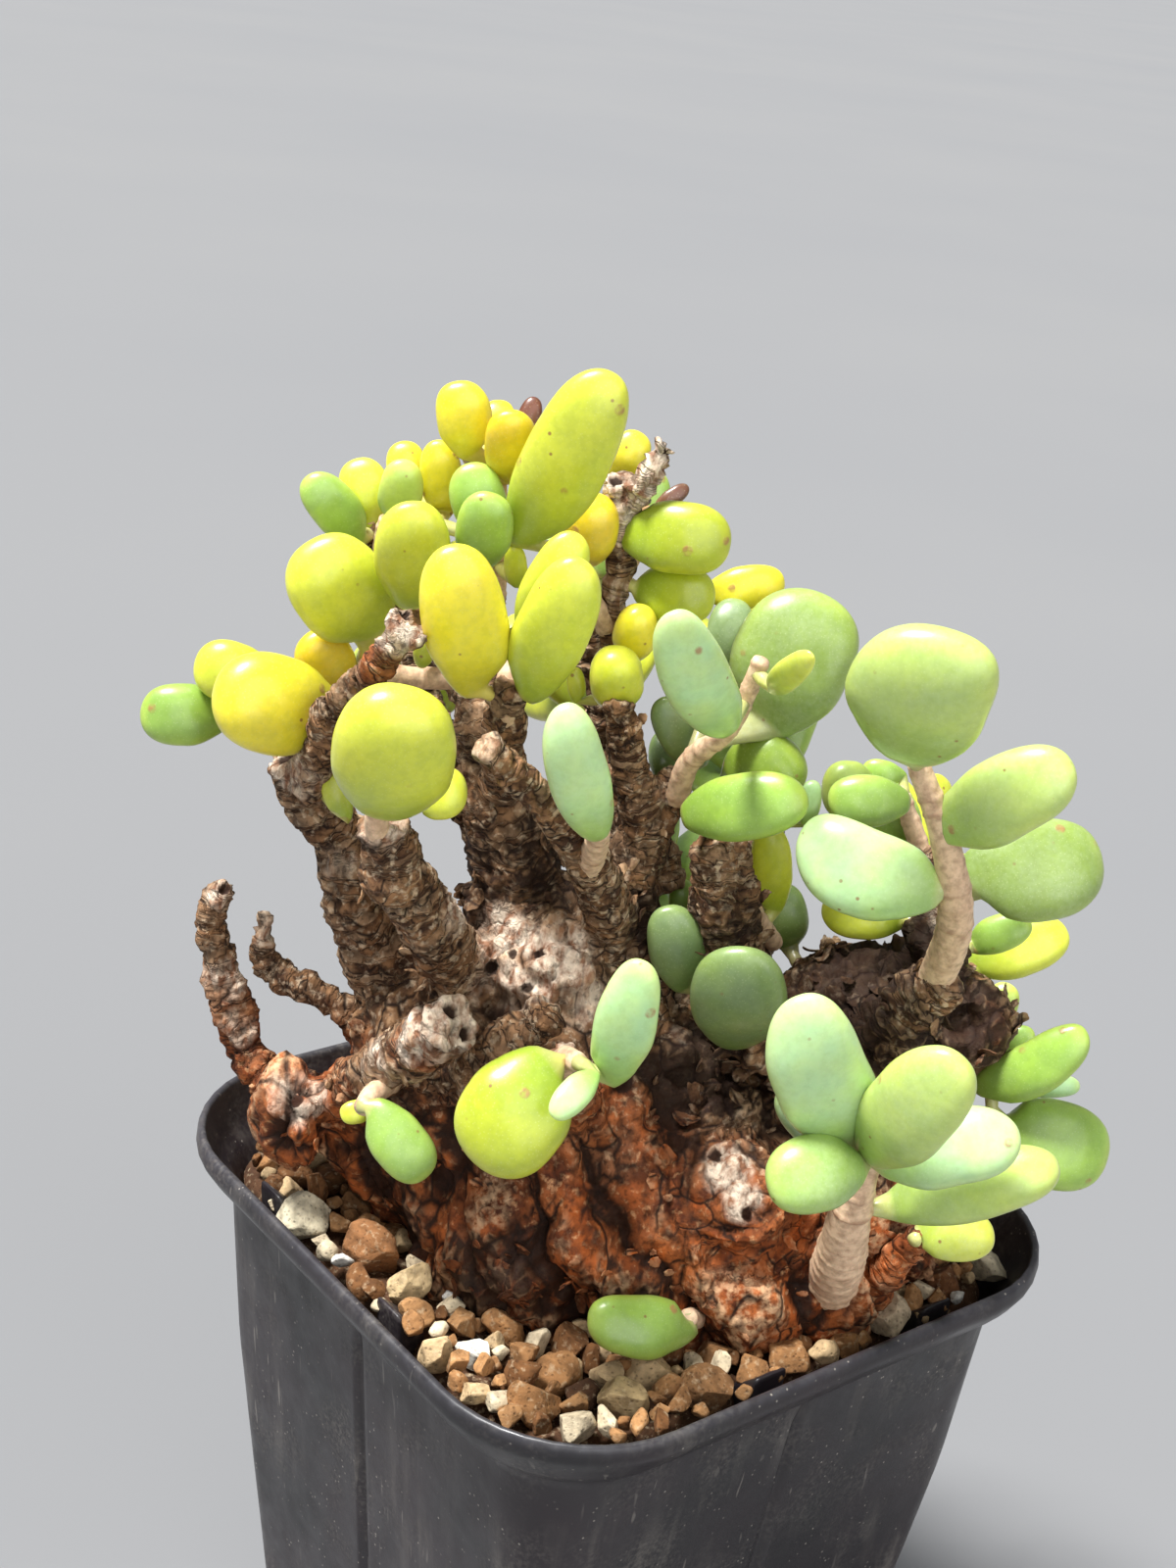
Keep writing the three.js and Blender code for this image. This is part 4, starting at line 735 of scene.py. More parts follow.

# %% [markdown]
# Where is the bark orange, where dark, where pale? The base is orange brown and flaky, limbs are
# dark grey-brown, and broken ends and old scars show pinkish pale wood. The mound on the right,
# spots between the limbs and the base just over the soil are painted near black. Each such place
# is a spot of the picture: the line of sight through it is followed to where it meets the skin,
# and the look reaches a few millimetres round that point.

# %% Places with their own look
skin_tree = BVHTree.FromPolygons(skin_points.tolist(), skin_faces)


def seen_at(across, down):
    """The point of the wood that the picture shows at this spot."""
    sight = spot(across, down, 0) - EYE
    hit = skin_tree.ray_cast(Vector(EYE), Vector(unit(sight)))[0]
    return np.array(hit if hit else spot(across, down, 0))


PALE_PLACES = [  # spot, reach, strength
    ((465, 1040), 4.6, 1.0), ((425, 1062), 4.6, 0.95), ((384, 1088), 4, 0.55), ((505, 1012), 4, 0.5),
    ((672, 466), 3.6, 1.0), ((640, 500), 4.4, 0.95), ((632, 545), 3.6, 0.7), ((630, 610), 3, 0.4),
    ((742, 1192), 3.6, 0.9), ((758, 1226), 3.0, 0.8), ((556, 985), 6.4, 0.95), ((505, 958), 5.0, 0.7),
    ((590, 1020), 4.5, 0.5), ((575, 1080), 4.0, 0.9), ((386, 846), 3.6, 0.6), ((225, 912), 3.2, 0.7),
    ((268, 950), 3.2, 0.5),
    ((215, 1000), 3, 0.35), ((296, 775), 4.2, 1.0), ((310, 800), 3, 0.5), ((302, 1120), 4.6, 0.75),
    ((693, 795), 4, 0.45), ((406, 640), 3.6, 0.85), ((330, 1085), 3.0, 0.5), ((610, 858), 3.2, 0.6),
    ((493, 758), 3, 0.4), ((850, 1300), 3.5, 0.4), ((955, 955), 4, 0.7), ((476, 460), 2.6, 0.8),
    ((369, 525), 3, 0.9), ((700, 1058), 2.6, 0.45), ((235, 1000), 3.4, 0.6), ((245, 1050), 3.4, 0.5),
    ((470, 930), 4.0, 0.7), ((540, 1000), 5.0, 0.9), ((345, 880), 3, 0.35),
]
RED_PLACES = [
    ((305, 1140), 6.5, 1.0), ((905, 1295), 7.0, 1.0), ((420, 1075), 5.0, 0.6),
    ((620, 1165), 9.0, 0.8), ((1000, 1050), 4.0, 0.5), ((395, 690), 5.0, 0.5),
]
DARK_PLACES = [
    ((905, 1010), 12.0, 1.0), ((985, 1040), 7.0, 0.8), ((560, 1320), 7.0, 0.5), ((640, 1330), 6, 0.4),
    ((715, 1095), 7.0, 0.9), ((660, 940), 5.0, 0.6), ((690, 1160), 4.0, 0.6), ((800, 1130), 5, 0.6),
    ((480, 900), 7.0, 0.6), ((560, 880), 7.0, 0.6), ((760, 950), 6.0, 0.5), ((410, 1130), 4, 0.5),
    ((510, 1300), 8.0, 0.8), ((420, 1240), 5.0, 0.5), ((840, 1030), 8.0, 0.9), ((920, 960), 6, 0.8),
]


def near_places(points, places):
    """1 at the middle of these places, falling to 0 at their reach."""
    found = np.zeros(len(points))
    for place, reach, strength in places:
        away = np.linalg.norm(points - seen_at(*place), axis=1)
        found = np.maximum(found, strength * (1 - ramp(away, 0.45 * reach, reach)))
    return found


ALL_RED_BELOW, NO_RED_ABOVE = 86, 103
THICK_BELOW, THIN_ABOVE = 97, 112
uneven_height = skin_points[:, 2] + 4 * bumps(skin_points, 9, 5)
low_down = 1 - ramp(uneven_height, ALL_RED_BELOW, NO_RED_ABOVE)
pale = near_places(skin_points, PALE_PLACES) * (0.85 + 0.8 * bumps(skin_points, 2.4, 2))
red = np.maximum(low_down, near_places(skin_points, RED_PLACES)) + 0.3 * bumps(skin_points, 5, 8)
dark = near_places(skin_points, DARK_PLACES)
pale_wood, red_bark = np.clip(pale, 0, 1), np.clip(red, 0, 1)
for look, share in (("orange", red_bark), ("dark", dark), ("pale", pale_wood)):
    print(look, "share of the skin:", share.mean().round(2))

# %% [markdown]
# A limb is ringed like a worn cane, so each point of the skin has to know how far along which limb
# it lies. All middle lines are laid end to end as one long line. The point of that line that is
# nearest, measured in its own radii, tells the place, and whether the skin is a limb's at all.

# %% Place along the limbs
line = np.concatenate([curve for _, curve, _, _ in grown_limbs])
line_radius = np.concatenate([radii for _, _, radii, _ in grown_limbs])
LINE_GAP = 10
starts = np.cumsum([0] + [along[-1] + LINE_GAP for *_, along in grown_limbs])
line_along = np.concatenate([start + along for start, (*_, along) in zip(starts, grown_limbs)])
line_heading = np.concatenate([unit(np.gradient(curve, axis=0)) for _, curve, _, _ in grown_limbs])


def nearest_line(points, batch=4000):
    """The index of the nearest point of the limbs' lines, and its distance in radii."""
    found, ratio = [], []
    for first in range(0, len(points), batch):
        part = points[first:first + batch]
        square = (part**2).sum(axis=1)[:, None] - 2 * part @ line.T + (line**2).sum(axis=1)
        away = np.sqrt(np.maximum(square, 0)) / line_radius
        found.append(away.argmin(axis=1))
        ratio.append(away.min(axis=1))
    return np.concatenate(found), np.concatenate(ratio)


nearest, ratio = nearest_line(skin_points)
on_limb = 1 - ramp(ratio, 1.15, 1.45)
along_limb = line_along[nearest] + ((skin_points - line[nearest]) * line_heading[nearest]).sum(axis=1)
print("skin on limbs:", round(float(on_limb.mean()), 2))

# %% [markdown]
# The rings are narrow grooves at uneven distances, deeper on one side than on the other. Between
# them short cracks run lengthwise. On the base, bark that is stretched by swelling wood rises in
# flowing folds, and its outer skin comes off in thin terraces. A fine crumble lies over everything.
# A modifier with one texture could give one of these, but each needs its own place and measure, so
# they are patterns of noise that are added up.

# %% Patterns of bark
RING_DEPTHS, RING_WIDTHS, RING_GAPS = (0.35, 1), (0.13, 0.24), (0.9, 2.6)
LINE_STEP = 0.08
ring_grid = np.arange(0, starts[-1] + LINE_GAP, LINE_STEP)
ring_depth = uneven_rings(seeded(77), ring_grid, 0, RING_DEPTHS, RING_WIDTHS, RING_GAPS)


def ridged(points, size, seed):
    """Sharp crests with round valleys, from -1 to 1."""
    return 1 - 2 * abs(bumps(points, size, seed))


def lobes(points, size, full, seed):
    """Round lobes with narrow crevices between them: their height and how near a crevice is."""
    away = abs(bumps(points, size, seed))
    return np.minimum(away / full, 1) ** 0.6, 1 - ramp(away, 0.02, 0.24 * full)


def terraces(points, size, steps, seed):
    """Flat levels with steep edges, as layers that flake off: the level and the steepness."""
    level = (bumps(points, size, seed) + 0.35 * bumps(points, size / 2.6, seed + 1)) * steps
    inside = level - np.floor(level)
    return (np.floor(level) + ramp(inside, 0.72, 1)) / steps, ramp(inside, 0.68, 0.84) - ramp(inside, 0.9, 1)


print("the limbs are", round(sum(along[-1] for *_, along in grown_limbs)), "mm long in all")

# %% [markdown]
# A pattern follows the places at which it is read. They are warped a little, so that nothing runs
# straight, drawn out upwards for the folds that flow down the base, and drawn out along a limb for
# its cracks and plates.

# %% Where the patterns are read
warped = skin_points + 1.6 * drift(skin_points, 4.5, 20) + 0.5 * drift(skin_points, 1.5, 30)
upright = np.column_stack([warped @ LEVEL_RIGHT + 0.35 * warped[:, 2], warped @ AWAY, 0.42 * warped[:, 2]])
thick_wood = (1 - ramp(uneven_height, THICK_BELOW, THIN_ABOVE)) * (1 - 0.8 * on_limb)
uneven = 0.5 + 0.5 * bumps(skin_points, 2.4, 12)
rings = np.interp(along_limb + 0.5 * bumps(skin_points, 2.2, 14), ring_grid, ring_depth)
rings = np.clip(rings * on_limb * (0.35 + uneven), 0, 1)
along_heading = (warped * line_heading[nearest]).sum(axis=1)[:, None] * line_heading[nearest]
stretched = warped - 0.6 * along_heading
cracks = (1 - ramp(creases(stretched, 1.9, 6), 0.0, 0.16)) * (0.4 + 0.6 * uneven)
plate_places = warped * [1, 1, 0.45]
plate_places[on_limb > 0.5] = (warped + 0.7 * along_heading)[on_limb > 0.5]
print("thick wood's share of the skin:", thick_wood.mean().round(2))

# %% [markdown]
# Folds and layers stand millimetres high on the base and hardly rise on the limbs. The rest lies
# over both.

# %% How high the bark stands
FOLD_WIDTH, SMALL_FOLD_WIDTH, CONTORTED_WIDTH, LAYER_WIDTH, CHIP_WIDTH = 10.5, 4.2, 2.8, 3.6, 1.5
FOLDS_HIGH, SMALL_FOLDS_HIGH, LAYERS_HIGH = 3.4, 1.2, 1.1  # on thick wood
THIN_FOLDS_HIGH, THIN_LAYERS_HIGH = 0.4, 0.35  # on limbs
CONTORTED_HIGH, CHIPS_HIGH, DARK_RIDGES_HIGH, RIDGES_HIGH, GRAIN_HIGH = 0.9, 0.28, 1.1, 0.14, 0.07
RINGS_DEEP, CRACKS_DEEP = 0.6, 0.36
layers, layer_edges = terraces(upright, LAYER_WIDTH, 3.2, 41)
chips, chip_edges = terraces(warped, CHIP_WIDTH, 2.0, 43)
folds, crevices = lobes(upright, FOLD_WIDTH, 0.5, 1)
small_folds, small_crevices = lobes(upright, SMALL_FOLD_WIDTH, 0.4, 4)
contorted, contorted_lines = lobes(upright, CONTORTED_WIDTH, 0.4, 17)
on_thick = FOLDS_HIGH * (folds - 0.68) + SMALL_FOLDS_HIGH * (small_folds - 0.6) + LAYERS_HIGH * layers
on_thin = THIN_FOLDS_HIGH * (small_folds - 0.6) + THIN_LAYERS_HIGH * layers
height = thick_wood * on_thick
height += (1 - thick_wood) * on_thin
height += CONTORTED_HIGH * pale_wood * (contorted - 0.6)
height += CHIPS_HIGH * chips - RINGS_DEEP * rings - CRACKS_DEEP * cracks * (1 - 0.6 * thick_wood)
height += DARK_RIDGES_HIGH * dark * ridged(warped, 2.1, 15)
height += RIDGES_HIGH * ridged(warped, 1.3, 9) + GRAIN_HIGH * bumps(skin_points, 0.6, 10)
DEEPEST, HIGHEST = -3.2, 2.4
height = np.clip(height, DEEPEST, HIGHEST)
print("the bark stands", height.min().round(1), "to", height.max().round(1), "mm over the skin")

# %% [markdown]
# Grooves, cracks, crevices and the edges of layers are painted dark: partly dirt that gathers there,
# partly painted shade in them. How much of it lies at each point is kept for the finish.

# %% Where dirt and painted shade gather
seam_dirt_and_shade = np.max([
    rings,
    0.75 * cracks * (1 - 0.5 * thick_wood),
    0.8 * layer_edges * (0.3 + 0.7 * thick_wood) * ramp(uneven, 0.2, 0.6),
    0.45 * chip_edges,
    (0.3 + 0.6 * thick_wood) * np.maximum(0.8 * small_crevices, thick_wood * crevices),
    0.6 * pale_wood * contorted_lines,
], axis=0)
print("dirt's share of the skin:", np.clip(seam_dirt_and_shade, 0, 1).mean().round(2))

# %% [markdown]
# Three places are known closely. An old cut at the front has healed with a ring round a flaky,
# stepped middle, and a swirl above it shows where a branch once sat. Both are uneven waves of the
# distance from their middle, broken by flakes. They are paler than the bark around.

# %% Scars
SCARS = [  # spot, reach, width of a ring, depth of the rings, depth of the furrow round it
    ((748, 1208), 5.0, 1.7, 0.3, 0.7), ((556, 987), 6.4, 2.3, 0.4, 0.2), ((500, 962), 5, 2, 0.34, 0.1),
]
FURROW_AT, FURROW_WIDTH = 0.88, 0.6  # as a share of the reach, and in millimetres
for place, reach, ring_width, deep, furrow in SCARS:
    away = np.linalg.norm(skin_points - seen_at(*place), axis=1) + 2 * bumps(skin_points, 4, 50)
    scarred = 1 - ramp(away, 0.6 * reach, reach)
    around = away + 2.4 * bumps(skin_points, 3.1, 51) + 0.9 * bumps(skin_points, 1.2, 52)
    wave = np.sin(around / ring_width * 2 * math.pi)
    height = height * (1 - 0.4 * scarred) + deep * scarred * wave
    rim = np.exp(-(((away - FURROW_AT * reach) / FURROW_WIDTH) ** 2))
    height -= furrow * rim
    # The troughs of a scar's rings and the furrow round it are painted darker, as shade in them.
    lines = np.maximum(0.6 * scarred * ramp(-wave, 0.4, 1), furrow * rim)
    seam_dirt_and_shade = np.maximum(seam_dirt_and_shade * (1 - 0.5 * scarred), lines)
wood_points = skin_points + height[:, None] * skin_normals
print("scars:", len(SCARS))

# %% [markdown]
# The two ends of the short thick branch and a few stubs are hollow where the pith dried out. A
# hollow is a spot where the skin is pushed back into the wood.

# %% Hollow ends
HOLLOWS = [  # spot, radius, depth
    ((461, 1030), 0.85, 1.7), ((480, 1056), 0.8, 1.6), ((684, 452), 1.0, 1.4), ((230, 905), 0.8, 0.8),
    ((302, 1120), 1.0, 1.0), ((628, 488), 0.8, 0.8), ((290, 770), 1.1, 1.2), ((985, 1042), 2.0, 2.4),
    ((414, 622), 0.8, 0.8), ((700, 1100), 1.6, 1.6), ((690, 1165), 1.2, 1.2), ((640, 1105), 1.3, 1.2),
    ((502, 989), 0.75, 0.9), ((537, 1008), 0.65, 0.8), ((474, 962), 0.75, 0.8), ((523, 973), 0.6, 0.7),
    ((549, 972), 0.65, 0.7), ((730, 1180), 0.7, 0.7), ((762, 1240), 0.7, 0.7),
]
depth_of_hollow = np.zeros(len(wood_points))
for place, radius, depth in HOLLOWS:
    away = np.linalg.norm(skin_points - seen_at(*place), axis=1)
    inward = -unit(skin_normals[away < 1.2 * radius].mean(axis=0))
    share = 1 - ramp(away, 0.45 * radius, radius)
    wood_points += (depth * share)[:, None] * inward
    depth_of_hollow = np.maximum(depth_of_hollow, share)
print("hollow ends:", len(HOLLOWS))

# %% [markdown]
# Loose flakes of dry bark stand off the surface. Each is a thin bent plate with a ragged edge, a
# ball that is pressed flat and tipped up at one side, and it is sunk into the wood at the other.

# %% Loose flakes
def ball(subdivisions):
    mesh = bmesh.new()
    bmesh.ops.create_icosphere(mesh, subdivisions=subdivisions, radius=1)
    points = np.array([vertex.co[:] for vertex in mesh.verts])
    faces = [tuple(vertex.index for vertex in face.verts) for face in mesh.faces]
    mesh.free()
    return points, faces


FLAKE_POINTS, FLAKE_FACES = ball(3)
FLAKE_THICK = 0.13
FLAKE_TRIES = 2600
FLAKES_FROM = SOIL_TOP + 1


def flake(seat, outward, size, draw, seed):
    """One plate with its foot at the seat, tipped up from the surface there."""
    around = unit(np.cross(outward, [between(draw, -1, 1) for _ in range(3)]))
    tip_up = math.radians(between(draw, 12, 50))
    along = math.cos(tip_up) * around + math.sin(tip_up) * outward
    across = np.cross(outward, around)
    facing = np.cross(along, across)
    ragged = 1 + 0.34 * bumps(FLAKE_POINTS * [1, 1, 0], 0.45, seed)[:, None]
    points = FLAKE_POINTS * ragged * [size, between(draw, 0.5, 0.85) * size, FLAKE_THICK]
    points[:, 2] += between(draw, 0.1, 0.35) * points[:, 0] ** 2 / size + 0.1 * bumps(points, 0.6, seed)
    return seat + 0.75 * size * along + points @ np.array([along, across, facing])


flake_draw = seeded(97)
flakes_at = [int(between(flake_draw, 0, len(wood_points) - 1)) for _ in range(FLAKE_TRIES)]
flake_bodies, flake_seats = [], []
for index in flakes_at:
    wanted = 0.12 + 0.7 * dark[index] + 0.2 * thick_wood[index] - 0.8 * pale[index]
    if flake_draw() > wanted or wood_points[index][2] < FLAKES_FROM:
        continue
    size = between(flake_draw, 0.5, 1.0 + 0.7 * dark[index])
    body = flake(wood_points[index], skin_normals[index], size, flake_draw, len(flake_bodies))
    flake_bodies.append((body, FLAKE_FACES))
    flake_seats.append(index)
print("loose flakes:", len(flake_bodies))

# %% [markdown]
# The bark's colours are laid over each other: dark grey-brown cork on the limbs, orange brown where
# the outer skin has flaked off the base, tan dust and painted highlight on raised edges, pale wood at
# ends and scars, and near-black dirt and painted shade down in the seams, in hollows and on the dark
# places. Each is held back by noise, so no border is clean.

# %% Bark
PLATE_SIZE = 4.2
BROWN, TAN, GREY_TAN, WORN_TAN = (82, 55, 37), (160, 118, 82), (176, 144, 112), (222, 196, 164)
DARK_RUST, RUST, ORANGE = (92, 44, 22), (180, 102, 54), (204, 104, 44)
BROWN_RUST, WORN_RUST = (120, 66, 38), (226, 172, 122)
WOOD_SHADE, PALE_WOOD, DUST_AND_HIGHLIGHT_TOP = (150, 106, 80), (248, 228, 204), (226, 188, 146)
IN_RIFTS, BLACK_DIRT_AND_SHADE, BROWN_DIRT_AND_SHADE, GRIME = (30, 18, 11), (24, 14, 9), (50, 29, 18), (40, 25, 17)
FIBRE_STRETCH = (1, 1, 0.35)


def bark():
    finish = Finish("bark")
    plates = finish.kept("plates", "Vector")
    plate_tone = finish.cells(PLATE_SIZE, output="Color", place=plates)
    rift = finish.cells(PLATE_SIZE, "DISTANCE_TO_EDGE", place=plates)
    red_here, pale_here, dark_here, seam_dirt_and_shade_here, raised_here = (
        finish.kept(name, "Fac") for name in ("red", "pale", "dark", "seam_dirt_and_shade", "raised"))
    cork = finish.painted(
        finish.mix(finish.patches(2.4, 0.4, 0.6, detail=6), BROWN, TAN),
        (finish.between(plate_tone, 0.45, 0.8, 0, 0.6), GREY_TAN),
        (finish.patches(0.9, 0.53, 0.64, most=0.7), WORN_TAN))
    rust = finish.painted(
        finish.mix(finish.patches(3.4, 0.4, 0.58, detail=7), DARK_RUST, RUST),
        (finish.patches(6, 0.48, 0.62, most=0.7, detail=5), ORANGE),
        (finish.between(plate_tone, 0.55, 0.85, 0, 0.5), BROWN_RUST),
        (finish.patches(0.9, 0.56, 0.68, most=0.6, detail=5), WORN_RUST))
    fibres = finish.between(finish.cloud(1.0, detail=6, stretch=FIBRE_STRETCH), 0.38, 0.6)
    wood = finish.mix(fibres, WOOD_SHADE, PALE_WOOD)
    # Raised bark is painted lighter: tan dust, and a painted highlight where the raised tops catch the
    # light.
    dust_and_highlight_on_tops = finish.times(raised_here, finish.patches(1.2, 0.42, 0.58, most=0.66, detail=5))
    rifts = finish.times(finish.between(rift, 0.012, 0.055, 1, 0), finish.patches(3.2, 0.38, 0.5, 0.15, 0.9))
    rifts = finish.times(rifts, finish.between(pale_here, 0.2, 0.7, 1, 0.35))
    # Near-black for the seams: dirt, and painted shade in grooves, hollows and on the dark places.
    dirt = finish.mix(finish.cloud(1), BLACK_DIRT_AND_SHADE, BROWN_DIRT_AND_SHADE)
    dirt_and_shade_share = finish.between(finish.plus(seam_dirt_and_shade_here, finish.times(dark_here, 0.95)), 0.12, 0.95, 0, 0.95)
    grime = finish.patches(0.6, 0.34, 0.46, 0.45, 0, detail=3)
    shade = finish.painted(
        cork,
        (finish.between(red_here, 0.15, 0.85), rust),
        (finish.between(pale_here, 0.15, 0.7, 0, 0.95), wood),
        (dust_and_highlight_on_tops, DUST_AND_HIGHLIGHT_TOP), (rifts, IN_RIFTS), (dirt_and_shade_share, dirt), (grime, GRIME))
    finish.relief((finish.between(rift, 0, 0.16), 0.7, 0.35), (finish.cloud(1.1, detail=5), 0.6, 0.45),
                  (finish.cloud(0.3, detail=5, roughness=0.65), 0.6, 0.15))
    return finish.finished(shade, finish.patches(1.5, 0.3, 0.7, 0.6, 0.9), Specular_IOR_Level=0.22)


# %% Wood and flakes as pieces
bark_finish = bark()
print("the bark's finish has", len(bark_finish.node_tree.nodes), "nodes")


def barked(name, points, faces, plates, looks):
    """A piece of bark with the places of its plates and its looks kept for the finish."""
    piece = make_piece(name, points, faces, [bark_finish])
    for look, values in looks.items():
        keep(piece, look, "FLOAT", values)
    keep(piece, "plates", "FLOAT_VECTOR", plates * MM)
    stand_for(piece, "bark", "caudex")


# Hollow ends and bark sunk deep below the skin are painted darker as shade, through the dark and seam
# shares.
barked("caudex_and_limbs", wood_points, skin_faces, plate_places, {
    "red": red_bark, "pale": pale_wood * (1 - depth_of_hollow), "dark": np.maximum(dark, depth_of_hollow),
    "seam_dirt_and_shade": np.clip(seam_dirt_and_shade * (1 - 0.5 * pale_wood) + depth_of_hollow + ramp(-height, 0.5, 2.2), 0, 1),
    "raised": ramp(height, 0.1, 1.1)})
wood_tree = BVHTree.FromPolygons(wood_points.tolist(), skin_faces)

# %% [markdown]
# All points of a flake share the look of the place where it sits, so that none stands out.

# %% Flakes as one piece
red_seats, dark_seats = (np.repeat(look[flake_seats], len(FLAKE_POINTS)) for look in (red_bark, dark))
nowhere = np.zeros(len(dark_seats))
flake_points, flake_faces = gathered(flake_bodies)
barked("bark_flakes", flake_points, flake_faces, flake_points, {
    "red": red_seats, "pale": nowhere, "dark": 0.2 + 0.7 * dark_seats,
    "seam_dirt_and_shade": nowhere, "raised": 0.5 * (1 - dark_seats)})

# %% [markdown]
# ## The grit
# The plant stands in a mix of fired clay crumbs, pumice and a few white stones, three to eight
# millimetres wide. A particle system could strew them, but each grain then is the same copy. Here
# every grain is a ball whose sides are planed flat by chance, as tumbling does it, and roughened.

# %% One grain
COARSE, FINE, FINEST = 3, 4, 5
BALLS = {fineness: ball(fineness) for fineness in (COARSE, FINE, FINEST)}
NEAREST_PLANE, FARTHEST_PLANE = 0.5, 0.82  # from the middle, as shares of the radius
PLANED_OFF = 0.97  # a plane that isn't quite flat looks worn
CRUMBLY = 0.05


def directions(draw, count):
    return unit([[between(draw, -1, 1) for _ in range(3)] for _ in range(count)])


def grain(centre, half, seed, fineness, planes=12):
    """A stone with planed sides: half is half its size along three directions of its own."""
    draw = seeded(seed)
    points, faces = BALLS[fineness]
    points = points.copy()
    for facing in directions(draw, planes):
        cut = between(draw, NEAREST_PLANE, FARTHEST_PLANE)
        beyond = np.maximum(points @ facing - cut, 0)
        points -= PLANED_OFF * beyond[:, None] * facing
    crumbs = bumps(points, 0.35, seed) + 0.5 * bumps(points, 0.14, seed + 1)
    points *= (1 + CRUMBLY * crumbs)[:, None]
    points /= abs(points).max()
    turn = np.linalg.qr(directions(draw, 3))[0]
    return (points * half) @ turn.T + centre, faces


# %% [markdown]
# Under the loose grains lies packed soil. It is a thick rounded square, like the inside of the
# pot, with an uneven top. The last rings draw in to its middle.

# %% Soil
SOIL_LEVELS = (POT_FLOOR + FLOOR_ROUNDING, 30, 60)
PACKED_TOP = SOIL_TOP - 1.6
SOIL_BROWN = (88, 60, 40)
soil_rings = [rounded_square(height, wall_inset(height) + WALL_THICKNESS + 0.35) for height in SOIL_LEVELS]
soil_edge = rounded_square(SOIL_TOP - 2, wall_inset(SOIL_TOP) + WALL_THICKNESS + 0.45)
soil_rings.append(soil_edge)
for share in np.linspace(0.98, 0.03, 36):
    ring = soil_edge * [share, share, 1]
    raised = ramp(share, 0.7, 0.95)  # soil is banked against the walls
    ring[:, 2] = PACKED_TOP + 0.5 * bumps(ring, 4, 3) + 0.35 * bumps(ring, 1.6, 4) + raised
    soil_rings.append(ring)
soil_rings = np.array(soil_rings)
soil_body = skin(soil_rings, soil_rings[0].mean(axis=0), soil_rings[-1].mean(axis=0))
print("the packed soil ends", (POT_HEIGHT - soil_rings[..., 2].max()).round(1), "mm under the rim")

# %% [markdown]
# Grains are strewn layer by layer: a place is drawn, and kept only if it lies inside the pot, off the
# wood, off the big pebbles and not in a grain that is there already. Most are brown fired clay.

# %% Pebbles that can be told apart
PEBBLES = {  # node: spot, half sizes, slot, colour
    "stone_brown_left": ((380, 1277), (3.9, 3.6, 3.1), "stone_brown", (150, 104, 66)),
    "stone_tan_left": ((421, 1315), (4.1, 2.9, 2.5), "stone_tan", (226, 198, 150)),
    "stone_cream_left": ((311, 1243), (3.3, 2.9, 2.5), "stone_white", (240, 228, 196)),
    "stone_white_near": ((485, 1382), (2.4, 1.9, 1.5), "stone_white", (240, 236, 222)),
    "stone_tan_middle": ((636, 1432), (2.4, 2.5, 2.9), "stone_tan", (190, 164, 120)),
    "stone_brown_near": ((722, 1420), (3.1, 2.9, 2.6), "stone_brown", (150, 110, 72)),
    "stone_tan_corner": ((545, 1432), (2.9, 2.6, 2.6), "stone_brown", (148, 106, 66)),
    "stone_cream_right": ((905, 1346), (3.0, 2.8, 2.5), "stone_tan", (226, 204, 170)),
    "stone_brown_right": ((957, 1312), (2.9, 2.6, 2.6), "stone_brown", (128, 84, 52)),
    "stone_cream_far": ((1006, 1290), (2.9, 2.6, 2.3), "stone_white", (226, 212, 182)),
}
pebble_places = {node: spot_at_height(*place, SOIL_TOP + 1) for node, (place, *_) in PEBBLES.items()}

GRAIN_TONES = [  # colour, share of the grains; the rest have the soil's own brown
    ((160, 116, 74), 0.22), ((124, 84, 50), 0.16), ((180, 134, 88), 0.18), ((212, 182, 138), 0.18),
    ((232, 214, 180), 0.14), ((246, 243, 234), 0.05), ((164, 156, 140), 0.04),
]
PILED_UP = 1.7  # how much higher the grains lie along the walls
FLAT_WITHIN, PILED_FROM = 20, 29  # how far from the middle the rise starts and ends
CORNER_MIDDLE, CORNER_REACH = 17, 16.2  # the round corner that grains fit into
WALL_REACH = RIM_HALF - 4.3


def grain_tone(share):
    for colour, part in GRAIN_TONES:
        if share < part:
            return light_of(*colour)
        share -= part
    return light_of(*SOIL_BROWN)


def room_for(place, size, placed):
    """Whether a grain of this size fits in at a place, off walls, wood and other grains."""
    inset = max(abs(place[0]), abs(place[1])) + size
    in_corner = np.linalg.norm(np.maximum(abs(place[:2]) - CORNER_MIDDLE, 0)) + size
    if inset > WALL_REACH or in_corner >= CORNER_REACH:
        return False
    nearest, outward, _, away = wood_tree.find_nearest(Vector(place))
    inside_wood = (Vector(place) - nearest).dot(outward) < 0
    if inside_wood or away < 0.5 * size:
        return False
    return all(np.linalg.norm(place - other) > 0.8 * (size + reach) for other, reach in placed)


